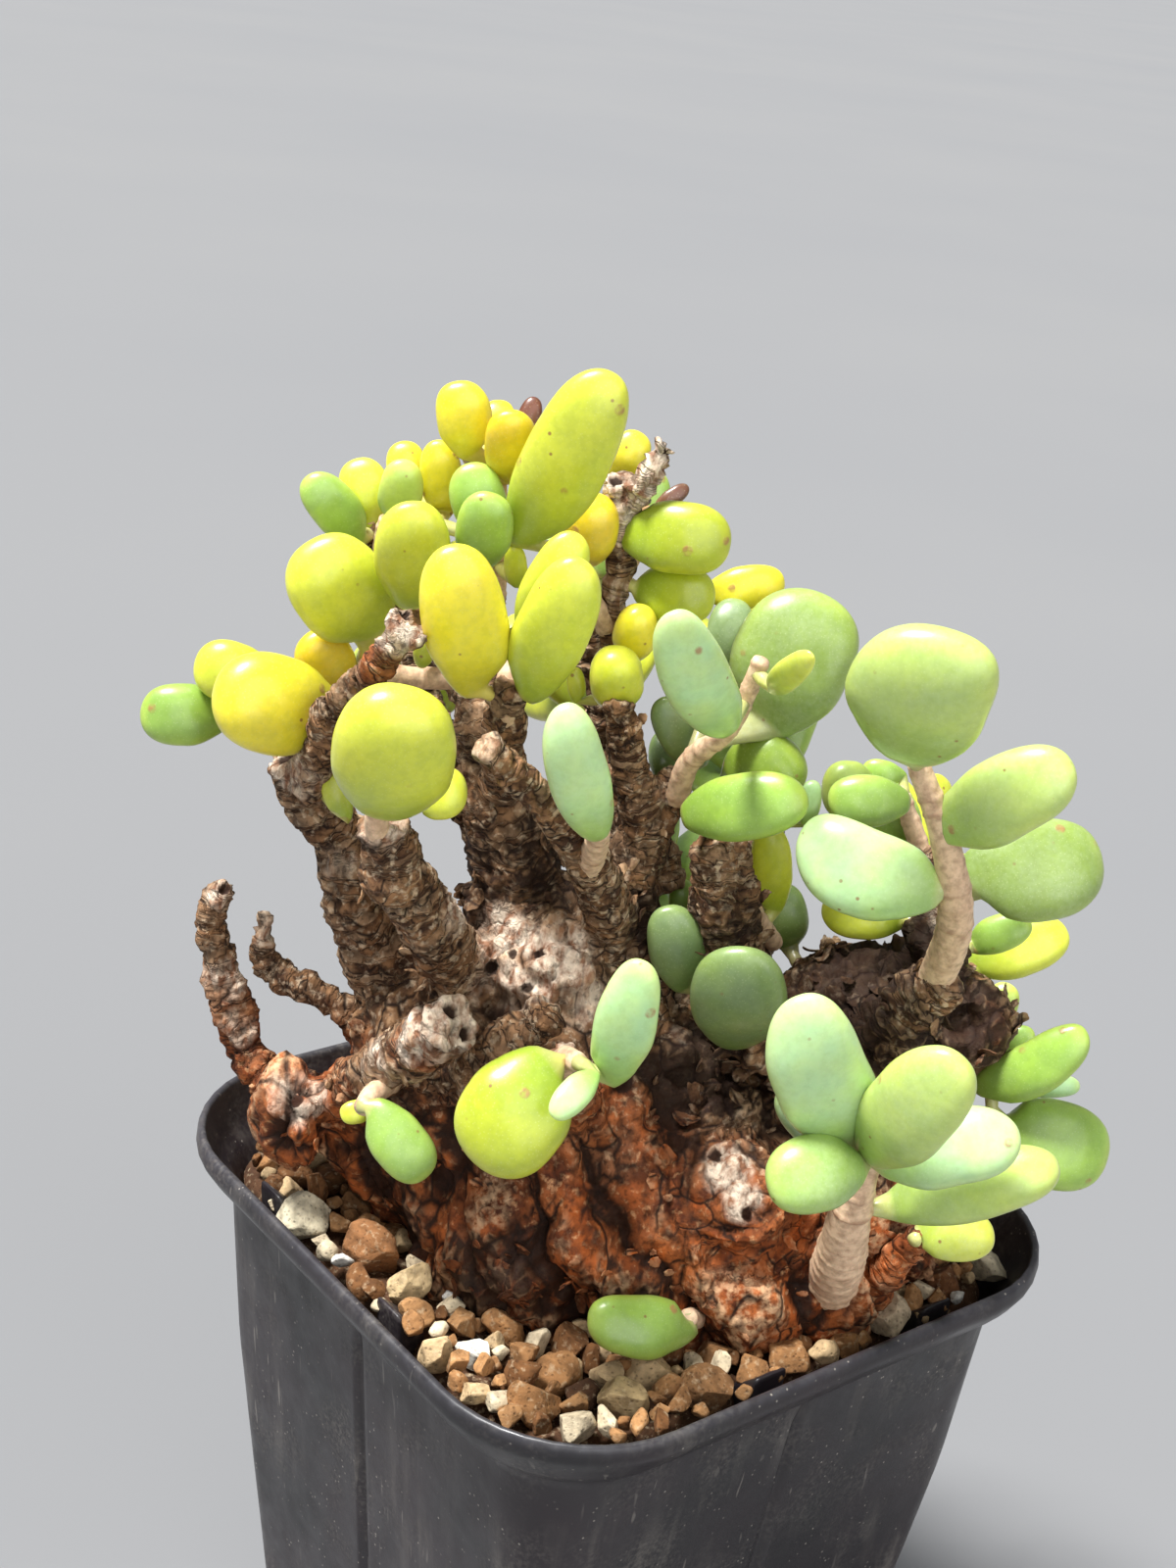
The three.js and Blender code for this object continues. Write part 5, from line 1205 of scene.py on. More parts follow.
# %% Grains
LAYERS = (  # half size of the largest and the smallest, how high they lie at most, tries
    (3.0, 2.1, 0.3, 900), (2.2, 1.5, 0.6, 2600), (1.5, 1.0, 0.1, 7000),
)
SMALL_GRAIN = 1.8  # grains of less than this half size are kept together as small grains
STREWN_OVER, LOWEST = 32, -0.5
REACH = 0.78  # how far a grain keeps others off, as a share of its half size
FIRST_GRAIN_SEED = 900
draw = seeded(41)
grains = [(soil_body, np.tile(light_of(*SOIL_BROWN), (len(soil_body[0]), 1)))]
small_grains = []
placed = [(pebble_places[node], max(PEBBLES[node][1])) for node in PEBBLES]
for largest, smallest, level, tries in LAYERS:
    for _ in range(tries):
        size = between(draw, smallest, largest)
        across, deep = (between(draw, -STREWN_OVER, STREWN_OVER) for _ in range(2))
        place = np.array([across, deep, SOIL_TOP + between(draw, LOWEST, level)])
        place[2] += PILED_UP * ramp(max(abs(place[:2])), FLAT_WITHIN, PILED_FROM)
        if not room_for(place, REACH * size, placed):
            continue
        placed.append((place, REACH * size))
        half = size * np.array([1, between(draw, 0.68, 0.95), between(draw, 0.6, 0.85)])
        body = grain(place, half, FIRST_GRAIN_SEED + len(placed), FINE if size > 1.5 else COARSE)
        tone = np.tile(grain_tone(draw()) * between(draw, 0.8, 1.2), (len(body[0]), 1))
        (small_grains if size < SMALL_GRAIN else grains).append((body, tone))
print("grains strewn:", len(grains) - 1, "and small ones:", len(small_grains))

# %% [markdown]
# Fired clay and pumice are dull and full of pores. Pores are cells of noise, dark inside and
# pressed in, and dust lightens the grains a little at random.

# %% Stone
WET_CLAY, STONE_DUST, IN_PORES = (60, 38, 22), (222, 200, 164), (52, 34, 22)


def stone_finish(name, own_colour=None):
    finish = Finish(name)
    tone = own_colour or finish.kept("tone")
    pore = finish.between(finish.cells(0.55), 0.1, 0.34)
    shade = finish.mix(finish.patches(1.3, 0.35, 0.68, most=0.55, detail=5), tone, WET_CLAY, "MULTIPLY")
    shade = finish.painted(shade, (finish.patches(0.7, 0.55, 0.75, most=0.45), STONE_DUST),
                           (finish.between(pore, 0, 1, 0.4, 0), IN_PORES))
    finish.relief((finish.cloud(0.25, detail=5), 0.55, 0.12), (pore, 0.45, 0.14))
    return finish.finished(shade, finish.patches(1, 0.3, 0.7, 0.8, 0.98, detail=3), Specular_IOR_Level=0.25)


# %% Grit as pieces
grit_finish = stone_finish("soil_grit")
print("the stone's finish has", len(grit_finish.node_tree.nodes), "nodes")
for name, strewn in (("potting_grit", grains), ("small_grains", small_grains)):
    piece = make_piece(name, *gathered([body for body, _ in strewn]), [grit_finish])
    keep_tones(piece, np.concatenate([tone for _, tone in strewn]))
    stand_for(piece, "soil_grit", "soil")

# %% Pebbles
FIRST_PEBBLE_SEED, PEBBLE_PLANES = 301, 14
for seed, (node, (_, half, slot, colour)) in enumerate(PEBBLES.items(), FIRST_PEBBLE_SEED):
    pebble = make_piece(node.replace("stone", "pebble"),
                        *grain(pebble_places[node], np.array(half), seed, FINEST, PEBBLE_PLANES),
                        materials=[stone_finish(node, colour)])
    stand_for(pebble, slot, node)

# %% [markdown]
# ## The leaves
# The leaves are the plant's water store: plump spoons, broadest past their middle, with a blunt
# round tip, on a stalk that hardly shows. A sphere stretched to an egg would miss the narrow foot.
# So a leaf is a row of ovals along its length, whose width and thickness follow the leaf's own
# outline. Each leaf says where its foot and tip are in the picture, how wide it is, and its tone.

# %% How a leaf is told
TONES = {  # body, foot, rim
    "glaucous": ((180, 222, 158), (148, 186, 88), (212, 234, 148)),
    "pale": ((178, 204, 96), (144, 174, 60), (206, 218, 100)),
    "green": ((144, 180, 76), (124, 156, 52), (184, 204, 84)),
    "dark": ((112, 136, 84), (104, 130, 62), (142, 166, 92)),
    "olive": ((122, 148, 40), (116, 142, 44), (168, 188, 70)),
    "lime": ((206, 214, 50), (162, 184, 44), (228, 224, 72)),
    "fresh": ((170, 182, 26), (146, 170, 34), (206, 208, 62)),
    "yellow": ((242, 224, 36), (206, 196, 36), (248, 230, 62)),
    "gold": ((232, 198, 10), (204, 178, 26), (240, 202, 34)),
    "bud": ((110, 52, 34), (128, 72, 42), (76, 36, 26)),
}


def leaf(foot, tip, wide, tone, thick=0.52, turn=0, sway=0):
    """Thick and sway are shares of the width and the length: how flat, and how far bent sideways."""
    return {"foot": spot(*foot), "tip": spot(*tip), "wide": wide, "tone": tone,
            "thick": thick, "turn": turn, "sway": sway}


STEM_FOOT, THINNER_BY = 2.6, 0.12  # width at the foot, and the share lost at each place after it


def shoot(name, slot, stem, leaves, widths=None):
    return {"name": name, "slot": slot, "stem": [spot(*place) for place in stem], "leaves": leaves,
            "widths": widths or [STEM_FOOT * (1 - THINNER_BY * index) for index in range(len(stem))]}


# %% Shoots that the picture shows
SHOOTS = [
    shoot("shoot_crown_far_left", "leaf_green", [(398, 592, 5), (392, 555, 4), (396, 530, 3)], [
        leaf((370, 551, 4), (312, 487, 2), 4.9, "green"),
        leaf((381, 545, 6), (365, 467, 7), 5.5, "lime"),
        leaf((405, 532, 2), (412, 470, 0), 4.5, "pale"),
    ]),
    shoot("shoot_crown_left", "leaf_lime", [(454, 664, 5), (445, 600, 1), (446, 530, 1)], [
        leaf((421, 615, -5), (423, 512, -9), 7.3, "lime"),
        leaf((420, 505, 6), (412, 450, 7), 4.2, "yellow"),
        leaf((453, 525, 3), (448, 449, 2), 4.3, "yellow"),
        leaf((499, 549, -3), (478, 472, -3), 5.4, "green", thick=0.45),
        leaf((490, 574, -5), (501, 503, -8), 5.7, "green"),
        leaf((430, 680, 0), (437, 648, -1), 2.2, "lime"),
    ]),
    shoot("shoot_crown_yellow", "leaf_yellow", [(503, 610, 3), (508, 540, 1), (506, 470, 1)], [
        leaf((482, 464, 0), (465, 389, -1), 5.5, "yellow"),
        leaf((509, 448, 5), (508, 408, 7), 3.3, "yellow"),
        leaf((522, 490, -1), (520, 420, -4), 5.3, "gold"),
        leaf((527, 470, 3), (546, 405, 4), 2.6, "bud"),
        leaf((528, 598, -2), (524, 556, -4), 2.4, "lime"),
    ]),
    shoot("shoot_crown_top", "leaf_lime", [(622, 640, 1), (592, 600, -1), (568, 558, -2)], [
        leaf((534, 554, -4), (625, 379, -8), 8.4, "lime", thick=0.5),
        leaf((596, 574, 0), (611, 506, -2), 5.6, "gold", thick=0.8),
    ]),
    shoot("shoot_crown_right", "leaf_lime", [(628, 600, 1), (642, 570, 4), (640, 508, 6)], [
        leaf((630, 490, 6), (653, 440, 7), 4, "yellow"),
        leaf((640, 541, 0), (746, 555, -2), 7.3, "fresh"),
        leaf((668, 520, 4), (702, 496, 5), 1.8, "bud"),
    ], widths=[1.8, 2.2, 2]),
    shoot("shoot_centre", "leaf_yellow", [(632, 690, 1), (650, 640, 3), (690, 612, 5)], [
        leaf((650, 600, 1), (730, 613, -1), 6.2, "fresh"),
        leaf((722, 606, 7), (801, 594, 8), 4.5, "yellow"),
        leaf((643, 668, 0), (655, 621, -3), 4.5, "yellow", thick=0.9),
        leaf((632, 719, -4), (628, 664, -7), 5.4, "lime", thick=0.9),
        leaf((590, 716, -2), (587, 681, -2), 1.9, "lime"),
    ]),
    shoot("shoot_centre_front", "leaf_lime", [(516, 760, -13), (518, 710, -17), (520, 660, -14)], [
        leaf((487, 703, -18), (459, 557, -22), 7.9, "yellow", thick=0.55),
        leaf((536, 708, -18), (594, 571, -22), 7, "lime", thick=0.55),
        leaf((534, 654, -11), (589, 544, -11), 5.4, "lime"),
    ]),
    shoot("shoot_right_top", "leaf_pale",
          [(690, 815, -6), (702, 780, -8), (745, 742, -12), (777, 674, -14)], [
        leaf((744, 744, -18), (685, 625, -28), 6.3, "glaucous", thick=0.55, sway=0.03),
        leaf((775, 739, -3), (846, 608, -1), 12, "olive", thick=0.42),
        leaf((738, 680, 3), (752, 611, 6), 4.7, "dark"),
        leaf((787, 704, -16), (829, 668, -24), 2.9, "lime"),
    ]),
    shoot("shoot_right_inner", "leaf_green", [(664, 850, -4), (672, 815, -1), (690, 786, 1)], [
        leaf((714, 780, -1), (672, 714, -3), 4.6, "dark"),
        leaf((678, 800, 3), (678, 744, 6), 3.4, "dark", thick=0.8),
    ]),
    shoot("shoot_right_middle", "leaf_yellow", [(735, 900, -6), (728, 850, -7), (735, 820, -6)], [
        leaf((742, 815, -3), (815, 765, -4), 8.2, "olive"),
        leaf((700, 833, -12), (824, 814, -16), 6.7, "green"),
        leaf((822, 842, 8), (830, 796, 9), 2.6, "glaucous"),
    ]),
    shoot("shoot_far_right", "leaf_pale",
          [(948, 1016, -14), (975, 930, -19), (962, 850, -20), (936, 778, -20)], [
        leaf((929, 771, -23), (974, 644, -27), 13.2, "pale", thick=0.4, sway=0.1),
        leaf((960, 847, -20), (1095, 777, -24), 7.8, "pale"),
        leaf((957, 908, -20), (815, 853, -17), 8.8, "glaucous", thick=0.5, sway=0.08),
        leaf((988, 899, -8), (1123, 877, -6), 10.6, "olive", thick=0.42),
    ], widths=[3.9, 3.5, 2.7, 2.1]),
    shoot("shoot_far_right_inner", "leaf_green", [(950, 945, -2), (942, 880, 2), (920, 812, 4)], [
        leaf((892, 808, 3), (840, 804, 2), 6.4, "pale"),
        leaf((926, 818, -7), (845, 815, -8), 5.3, "green"),
        leaf((924, 938, -1), (838, 928, 0), 5.2, "lime"),
        leaf((992, 988, 2), (1090, 950, 3), 6, "lime"),
        leaf((990, 966, -3), (1052, 940, -4), 4, "green"),
        leaf((930, 866, 6), (886, 780, 9), 5.8, "green"),
        leaf((922, 795, 5), (880, 784, 5), 2.8, "green"),
    ]),
    shoot("shoot_right_stub", "leaf_yellow", [(748, 905, -10), (770, 935, -3), (790, 962, 2)], [
        leaf((788, 930, 0), (785, 840, -1), 4.4, "lime"),
        leaf((806, 968, 5), (797, 902, 6), 4.9, "dark"),
        leaf((768, 925, 8), (768, 872, 9), 2.8, "glaucous"),
    ]),
    shoot("shoot_low_centre", "leaf_green", [(742, 1100, -1), (735, 1060, -8), (722, 1010, -8)], [
        leaf((702, 1006, -8), (681, 925, -10), 6, "dark"),
        leaf((755, 1064, -11), (758, 968, -16), 9.9, "dark", thick=0.42),
        leaf((698, 940, 0), (695, 897, 1), 2.9, "green"),
    ]),
    shoot("shoot_low_right", "leaf_lime", [(985, 1080, -1), (1004, 1095, -5), (1012, 1112, -7)], [
        leaf((998, 1112, -7), (1109, 1053, -10), 5.7, "green", sway=-0.05),
        leaf((1012, 1149, -8), (1130, 1181, -8), 9.5, "green", thick=0.42),
        leaf((1015, 1048, 5), (1028, 1003, 6), 3.7, "pale"),
        leaf((1040, 1108, -1), (1102, 1108, -1), 2.6, "glaucous"),
        leaf((1004, 1070, 1), (1056, 1054, 0), 3.1, "green"),
    ]),
    shoot("rosette_front", "leaf_pale",
          [(848, 1312, -18), (860, 1272, -24), (870, 1230, -27), (888, 1182, -29)], [
        leaf((871, 1162, -31), (814, 1017, -36), 9.2, "glaucous", thick=0.45, sway=0.03),
        leaf((887, 1178, -33), (982, 1079, -40), 8.5, "pale", thick=0.5),
        leaf((898, 1186, -31), (1041, 1160, -33), 7.3, "glaucous", thick=0.5),
        leaf((905, 1232, -26), (1081, 1190, -29), 6.7, "pale", thick=0.7),
        leaf((936, 1262, -22), (1016, 1262, -23), 5.2, "lime"),
        leaf((877, 1191, -34), (783, 1209, -38), 7.2, "green", thick=0.6),
        leaf((864, 1176, -26), (798, 1110, -27), 5.6, "dark"),
    ], widths=[5.6, 5.0, 4, 2.2]),
    shoot("shoot_left_stub", "leaf_lime", [(386, 856, -25), (386, 828, -27), (402, 800, -27)], [
        leaf((391, 824, -28), (412, 703, -33), 11, "lime", thick=0.6),
        leaf((422, 808, -24), (477, 809, -25), 5, "lime"),
        leaf((352, 836, -12), (334, 778, -10), 3, "lime"),
    ]),
    shoot("shoot_far_left", "leaf_yellow", [(302, 792, -6), (282, 755, -3), (268, 722, -2)], [
        leaf((337, 738, -9), (221, 698, -14), 10, "yellow", thick=0.6),
        leaf((278, 699, -3), (199, 673, -4), 6.4, "lime"),
        leaf((232, 729, -3), (143, 727, -5), 6.4, "green"),
    ]),
    shoot("shoot_left_upper", "leaf_lime", [(470, 692, 3), (408, 690, 1), (365, 680, 0)], [
        leaf((379, 646, -2), (312, 556, -6), 10, "lime", thick=0.5),
        leaf((345, 700, -1), (316, 646, -3), 6.1, "gold"),
        leaf((362, 700, 1), (386, 655, 0), 3.5, "pale"),
    ]),
    shoot("leaf_front_stub", "leaf_pale", [(600, 888, -18), (608, 862, -24), (612, 848, -28)], [
        leaf((610, 851, -29), (575, 719, -34), 5.5, "glaucous", thick=0.7, sway=0.02),
    ]),
    shoot("leaves_pale_head", "leaf_lime", [(576, 1088, -28), (578, 1080, -31), (590, 1084, -33)], [
        leaf((621, 1102, -34), (655, 981, -37), 5.6, "glaucous"),
        leaf((562, 1086, -33), (489, 1190, -37), 10.2, "fresh", thick=0.5),
        leaf((607, 1094, -36), (564, 1140, -40), 3, "glaucous"),
    ]),
    shoot("leaves_left_branch", "leaf_green", [(400, 1100, -17), (378, 1120, -21), (370, 1130, -23)], [
        leaf((379, 1130, -23), (435, 1202, -25), 5.7, "green"),
        leaf((380, 1130, -20), (347, 1138, -21), 2.4, "lime"),
    ]),
    shoot("leaf_near_soil", "leaf_green", [(715, 1345, -18), (708, 1345, -22), (702, 1345, -25)], [
        leaf((704, 1352, -25), (600, 1346, -29), 6.3, "green", thick=0.6, sway=0.05),
    ]),
]

# %% [markdown]
# The far side can't be seen, but it can be known: leaves follow each other round a stem by the
# golden angle, so that none stands quite over another. Eight shoots are grown by that rule.

# %% Shoots on the far side
GOLDEN_TURN = math.radians(137.5)
BACK_SHOOTS = [
    ("back_shoot_crown_left", (412, 640, 14), (410, 590, 19)),
    ("back_shoot_crown_right", (603, 630, 16), (602, 570, 20)),
    ("back_shoot_centre", (622, 770, 17), (590, 700, 26)),
    ("back_shoot_right_top", (770, 740, 16), (770, 690, 20)),
    ("back_shoot_right_low", (778, 830, 17), (770, 790, 26)),
    ("back_shoot_left", (452, 765, 14), (415, 720, 24)),
    ("back_shoot_far_right", (952, 915, 1), (930, 880, 16)),
    ("back_shoot_low", (640, 930, 13), (660, 900, 28)),
]
BACK_LEAVES = 4
BACK_WIDTHS = [2.6, 2.3, 2.0]
TURN_BY_SHOOT = math.radians(40)
FIRST_BACK_SEED = 701


def turned(vector, axis, angle):
    return (vector * math.cos(angle) + np.cross(axis, vector) * math.sin(angle)
            + axis * (axis @ vector) * (1 - math.cos(angle)))


def back_shoot(order, name, root, head):
    """A shoot of four leaves that stand out round its head and lean away from the eye."""
    draw = seeded(FIRST_BACK_SEED + order)
    root, head = spot(*root), spot(*head)
    heading = unit(head - root)
    across = unit(LEVEL_RIGHT - heading @ LEVEL_RIGHT * heading)
    tone, slot = ("green", "leaf_green") if order % 3 == 1 else ("lime", "leaf_lime")
    leaves = []
    for index in range(BACK_LEAVES):
        outward = turned(across, heading, index * GOLDEN_TURN + order * TURN_BY_SHOOT)
        spread = 0.95 + 0.3 * draw()
        direction = unit(0.55 * heading + spread * outward + 0.55 * AWAY + 0.25 * UPWARD)
        foot = root + (head - root) * (0.55 + 0.45 * index / BACK_LEAVES) + 0.8 * outward
        length = 10 + 3.5 * draw()
        leaves.append({"foot": foot, "tip": foot + length * direction, "wide": 0.56 * length, "tone": tone,
                       "thick": 0.5, "turn": 360 * draw(), "sway": 0})
    return {"name": name, "slot": slot, "stem": [root, (root + head) / 2, head], "leaves": leaves,
            "widths": BACK_WIDTHS}


every_shoot = SHOOTS + [back_shoot(order, *each) for order, each in enumerate(BACK_SHOOTS)]
print(len(every_shoot), "shoots with", sum(len(each["leaves"]) for each in every_shoot), "leaves")

# %% [markdown]
# The outline of a leaf: along its length, how wide it is and how thick. It opens quickly from the
# foot, is widest a little before the middle, and stays broad up to a blunt tip.

# %% Leaf outline
WIDEST = 0.46
FOOT_SHARE = 0.36  # width at the foot, as a share of the greatest
OPENING, BLUNTNESS, ROUNDNESS = 0.8, 2.9, 2.15  # how fast it widens, and the form of its tip
rising = np.linspace(0.03, 1, 12) * WIDEST
rounding = WIDEST + (1 - WIDEST) * np.sin(np.linspace(0.1, 0.975, 17) * math.pi / 2)
LEAF_STEPS = np.concatenate([rising, rounding])
opened = np.sin(np.minimum(LEAF_STEPS / WIDEST, 1) * math.pi / 2) ** OPENING
rounded = (1 - np.clip((LEAF_STEPS - WIDEST) / (1 - WIDEST), 0, 1) ** BLUNTNESS) ** (1 / ROUNDNESS)
LEAF_WIDTH = (FOOT_SHARE + (1 - FOOT_SHARE) * opened) * rounded
LEAF_SIDES = 26
LEAF_COSINES, LEAF_SINES = circle(LEAF_SIDES)
FULLNESS = 0.88  # below 1 the oval is squarer, as a leaf that is swollen with water
FULL_COSINES, FULL_SINES = squarer(LEAF_COSINES, FULLNESS), squarer(LEAF_SINES, FULLNESS)
print("a leaf is", len(LEAF_STEPS), "ovals of", LEAF_SIDES, "points")

# %% [markdown]
# A leaf stands on a short stalk that often comes in from the side. So the ovals of the stalk face
# along the stalk, the lowest oval of the leaf faces halfway between stalk and leaf, and the next
# ones turn into the leaf's own direction. Without that the foot would be pinched flat.

# %% One leaf
ARCH = 0.06  # how far the middle bows forward, as a share of the length
SLIMMER = 0.96  # a smooth outline looks broader than the angular one that was laid over the picture
TWIST, CUSHION = 0.2, 0.05  # greatest turn from foot to tip, greatest difference of the two halves
LEAST_THICK = 0.45
TURNING = (0.5, 0.4, 0.25, 0.15, 0.075)  # how far the lowest ovals lean towards the stalk
STALK = ((-0.4, 0, 0.75), (0, 0.5, 0.66))  # ovals: millimetres and share from seat to foot, radius
SUNK = 0.7  # how deep the stalk's end sits in the wood


def tilted(vectors, start, end, share):
    """Vectors after a turn that carries the direction start this share of the way to end."""
    axis = np.cross(start, end)
    bend = np.linalg.norm(axis)
    if bend < 1e-6:
        return vectors
    angle = share * math.atan2(bend, start @ end)
    return [turned(vector, axis / bend, angle) for vector in vectors]


def seat_of(foot, stem):
    """Where a leaf's stalk starts: on its stem, or on the wood where that is much nearer."""
    inner = smooth_path(stem, 0.25)[1:-1]
    on_stem = inner[np.argmin(np.linalg.norm(inner - foot, axis=1))]
    on_wood = np.array(wood_tree.find_nearest(Vector(foot))[0])
    wood_is_near = np.linalg.norm(on_wood - foot) < 0.6 * np.linalg.norm(on_stem - foot)
    return on_wood if wood_is_near else on_stem


def leaf_body(told, stem, draw, seed):
    """Points and faces of one leaf with its stalk."""
    foot, tip, wide = told["foot"], told["tip"], told["wide"]
    length = np.linalg.norm(tip - foot)
    along = (tip - foot) / length
    front = EYE - (foot + tip) / 2
    front = unit(front - (front @ along) * along)
    front = turned(front, along, math.radians(told["turn"]))
    side = np.cross(front, along)
    twist, cushion = between(draw, -TWIST, TWIST), between(draw, -CUSHION, CUSHION)
    half_wide = SLIMMER * wide / 2 * LEAF_WIDTH
    half_thick = np.minimum(np.maximum(told["thick"] * half_wide, LEAST_THICK * LEAF_WIDTH), half_wide)
    bow = length * np.sin(math.pi * LEAF_STEPS)
    centres = foot + np.outer(LEAF_STEPS * length, along)
    centres = centres + np.outer(ARCH * bow, front) + np.outer(told["sway"] * bow, side)
    seat = seat_of(foot, stem)
    stalk = unit(foot - seat)
    round_side, round_front = tilted([side, front], along, stalk, 1)
    around_stalk = np.outer(LEAF_COSINES, round_side) + np.outer(LEAF_SINES, round_front)
    rings = [seat + offset * stalk + share * (foot - seat) + min(radius, 0.3 * wide) * around_stalk
             for offset, share, radius in STALK]
    leans = TURNING + (0,) * (len(LEAF_STEPS) - len(TURNING))
    fuller = 1 + cushion * LEAF_COSINES
    for centre, out, up, share, lean in zip(centres, half_wide, half_thick, LEAF_STEPS, leans):
        sideways, forward = (turned(vector, along, twist * (share - 0.5))
                             for vector in tilted([side, front], along, stalk, lean))
        rings.append(centre + np.outer(fuller * FULL_COSINES * out, sideways)
                     + np.outer(FULL_SINES * up, forward))
    points, faces = skin(np.array(rings), seat - SUNK * stalk, tip)
    outward = unit(points - (foot + tip) / 2)
    points += 0.03 * wide * bumps(points, 0.6 * wide, seed)[:, None] * outward
    return points, faces


# %% [markdown]
# A leaf is greener at its foot and brighter along its rim and tip, and its stalk is a little pink.

# %% Tones of a leaf
STEM_PINK, STEM_RING = light_of(234, 200, 164), light_of(140, 94, 64)
RIM_NARROWNESS = 5
RIM_SHARE, STALK_SHARE = 0.5, 0.4


def leaf_tones(told, points, draw, seed):
    """The colour of each point of a leaf, oval by oval from its stalk up."""
    body, base, rim = (light_of(*colour) for colour in TONES[told["tone"]])
    shares = np.concatenate([[0] * len(STALK), LEAF_STEPS])
    share_here = np.append(np.repeat(shares, LEAF_SIDES), [0, 1])
    up_the_leaf = ramp(share_here, 0.02, 0.6)
    edge = np.append(np.tile(abs(LEAF_COSINES) ** RIM_NARROWNESS, len(shares)), [0, 1])
    edge = np.maximum(edge, ramp(share_here, 0.86, 1)) * up_the_leaf
    colours = base + up_the_leaf[:, None] * (body - base)
    colours += (RIM_SHARE * edge)[:, None] * (rim - colours)
    on_stalk = 1 - ramp(share_here, 0, 0.03)
    colours += (STALK_SHARE * on_stalk)[:, None] * (STEM_PINK - colours)
    return colours * (between(draw, 0.94, 1.08) + 0.12 * bumps(points, 4.5, seed + 5))[:, None]


def grown_leaf(told, stem, seed):
    draw = seeded(seed)
    body = leaf_body(told, stem, draw, seed)
    return body, leaf_tones(told, body[0], draw, seed)


# %% [markdown]
# Young stems are still soft and pinkish, with a ring where each leaf pair once sat.

# %% Young stems
STEM_STEP, STEM_SIDES = 0.22, 16


def grown_stem(told, seed):
    """Points and faces of a young stem, and the colour of each point."""
    draw = seeded(seed)
    curve, along, width = smooth_path(told["stem"], STEM_STEP, told["widths"])
    ringed = uneven_rings(draw, along, between(draw, 0.4, 1), (0.3, 1), (0.14, 0.3), (1.4, 3.4))
    ringed = np.clip(ringed, 0, 1)
    radii = width / 2 * (0.95 + 0.11 * ringed + 0.06 * bumps(curve, 1.8, seed + 4))
    points, faces = tube(curve, radii, STEM_SIDES)
    slanting = unit(bumps(points, 3, seed)[:, None] + [0.2, 0.1, 0.3])
    points += 0.09 * bumps(points, 0.9, seed)[:, None] * slanting
    ringed = np.append(np.repeat(ringed, STEM_SIDES), [0, 0])
    dirt = ramp(bumps(points, 1.1, seed + 3), -0.1, 0.7)
    share = (0.6 * ringed * ramp(bumps(points, 1.6, seed + 6), -0.5, 0.3) + 0.3 * dirt).clip(0, 1)
    colours = STEM_PINK + share[:, None] * (STEM_RING - STEM_PINK)
    return (points, faces), colours


# %% [markdown]
# A succulent leaf isn't glossy plastic. Light goes into the wet flesh and comes out softer, and a
# thin bloom of wax dulls and whitens the skin. So the flesh gets subsurface light, the skin a
# broad soft shine, and the bloom lies over the tone in clouds, with tiny pores and a few corky specks.

# %% Leaf skin
BLOOM = {"leaf_pale": 0.3, "leaf_green": 0.12, "leaf_lime": 0.08, "leaf_yellow": 0.06}
SUNLIT, SHADED, WAX, PORE = (232, 226, 120), (150, 168, 60), (208, 226, 188), (236, 240, 196)
SPECK, CORK, STEM_DIRT = (140, 88, 50), (168, 112, 76), (128, 88, 62)
FLESH_LIGHT = (1.0, 1.1, 0.3)  # how far red, green and blue light travel in the flesh


def leaf_skin(slot):
    finish = Finish(slot)
    sunlit = finish.patches(3.4, 0.35, 0.7, most=0.3, detail=2)
    shade = finish.mix(sunlit, finish.kept("tone"), SUNLIT, "OVERLAY")
    shade = finish.mix(finish.patches(0.8, 0.42, 0.62, most=0.14, detail=5), shade, SHADED, "MULTIPLY")
    wax = finish.times(finish.patches(4.5, 0.3, 0.7, 0.5, detail=2),
                       finish.patches(0.5, 0.3, 0.7, 0.5 * BLOOM[slot], BLOOM[slot]))
    pores = finish.between(finish.cells(0.3), 0.0, 0.3)
    speck = finish.times(finish.between(finish.cells(2.1), 0.105, 0.06),
                         finish.patches(5, 0.5, 0.6, most=0.8, detail=3))
    cork = finish.times(finish.between(finish.cells(5.5), 0.11, 0.075),
                        finish.patches(0.6, 0.4, 0.6, 0.2, 0.75))
    shade = finish.painted(shade, (wax, WAX), (finish.between(pores, 0, 1, 0.18, 0), PORE),
                           (speck, SPECK), (cork, CORK))
    roughness = finish.patches(1.4, 0.3, 0.7, 0.32, 0.46, detail=3)
    finish.relief((pores, 0.14, 0.03), (finish.cloud(1.2, detail=2), 0.1, 0.14), (cork, 0.4, 0.12))
    return finish.finished(
        shade, roughness, Subsurface_Weight=0.2, Subsurface_Radius=FLESH_LIGHT, Subsurface_Scale=1.8 * MM,
        Specular_IOR_Level=0.5, Coat_Weight=0.5, Coat_Roughness=0.2)


def stem_skin():
    finish = Finish("young_stem")
    dirt = finish.patches(0.8, 0.42, 0.7, most=0.55, detail=5)
    finish.relief((finish.cloud(0.35, detail=5), 0.5, 0.12))
    return finish.finished(finish.mix(dirt, finish.kept("tone"), STEM_DIRT), 0.62, Subsurface_Weight=0.08,
                           Subsurface_Scale=MM)


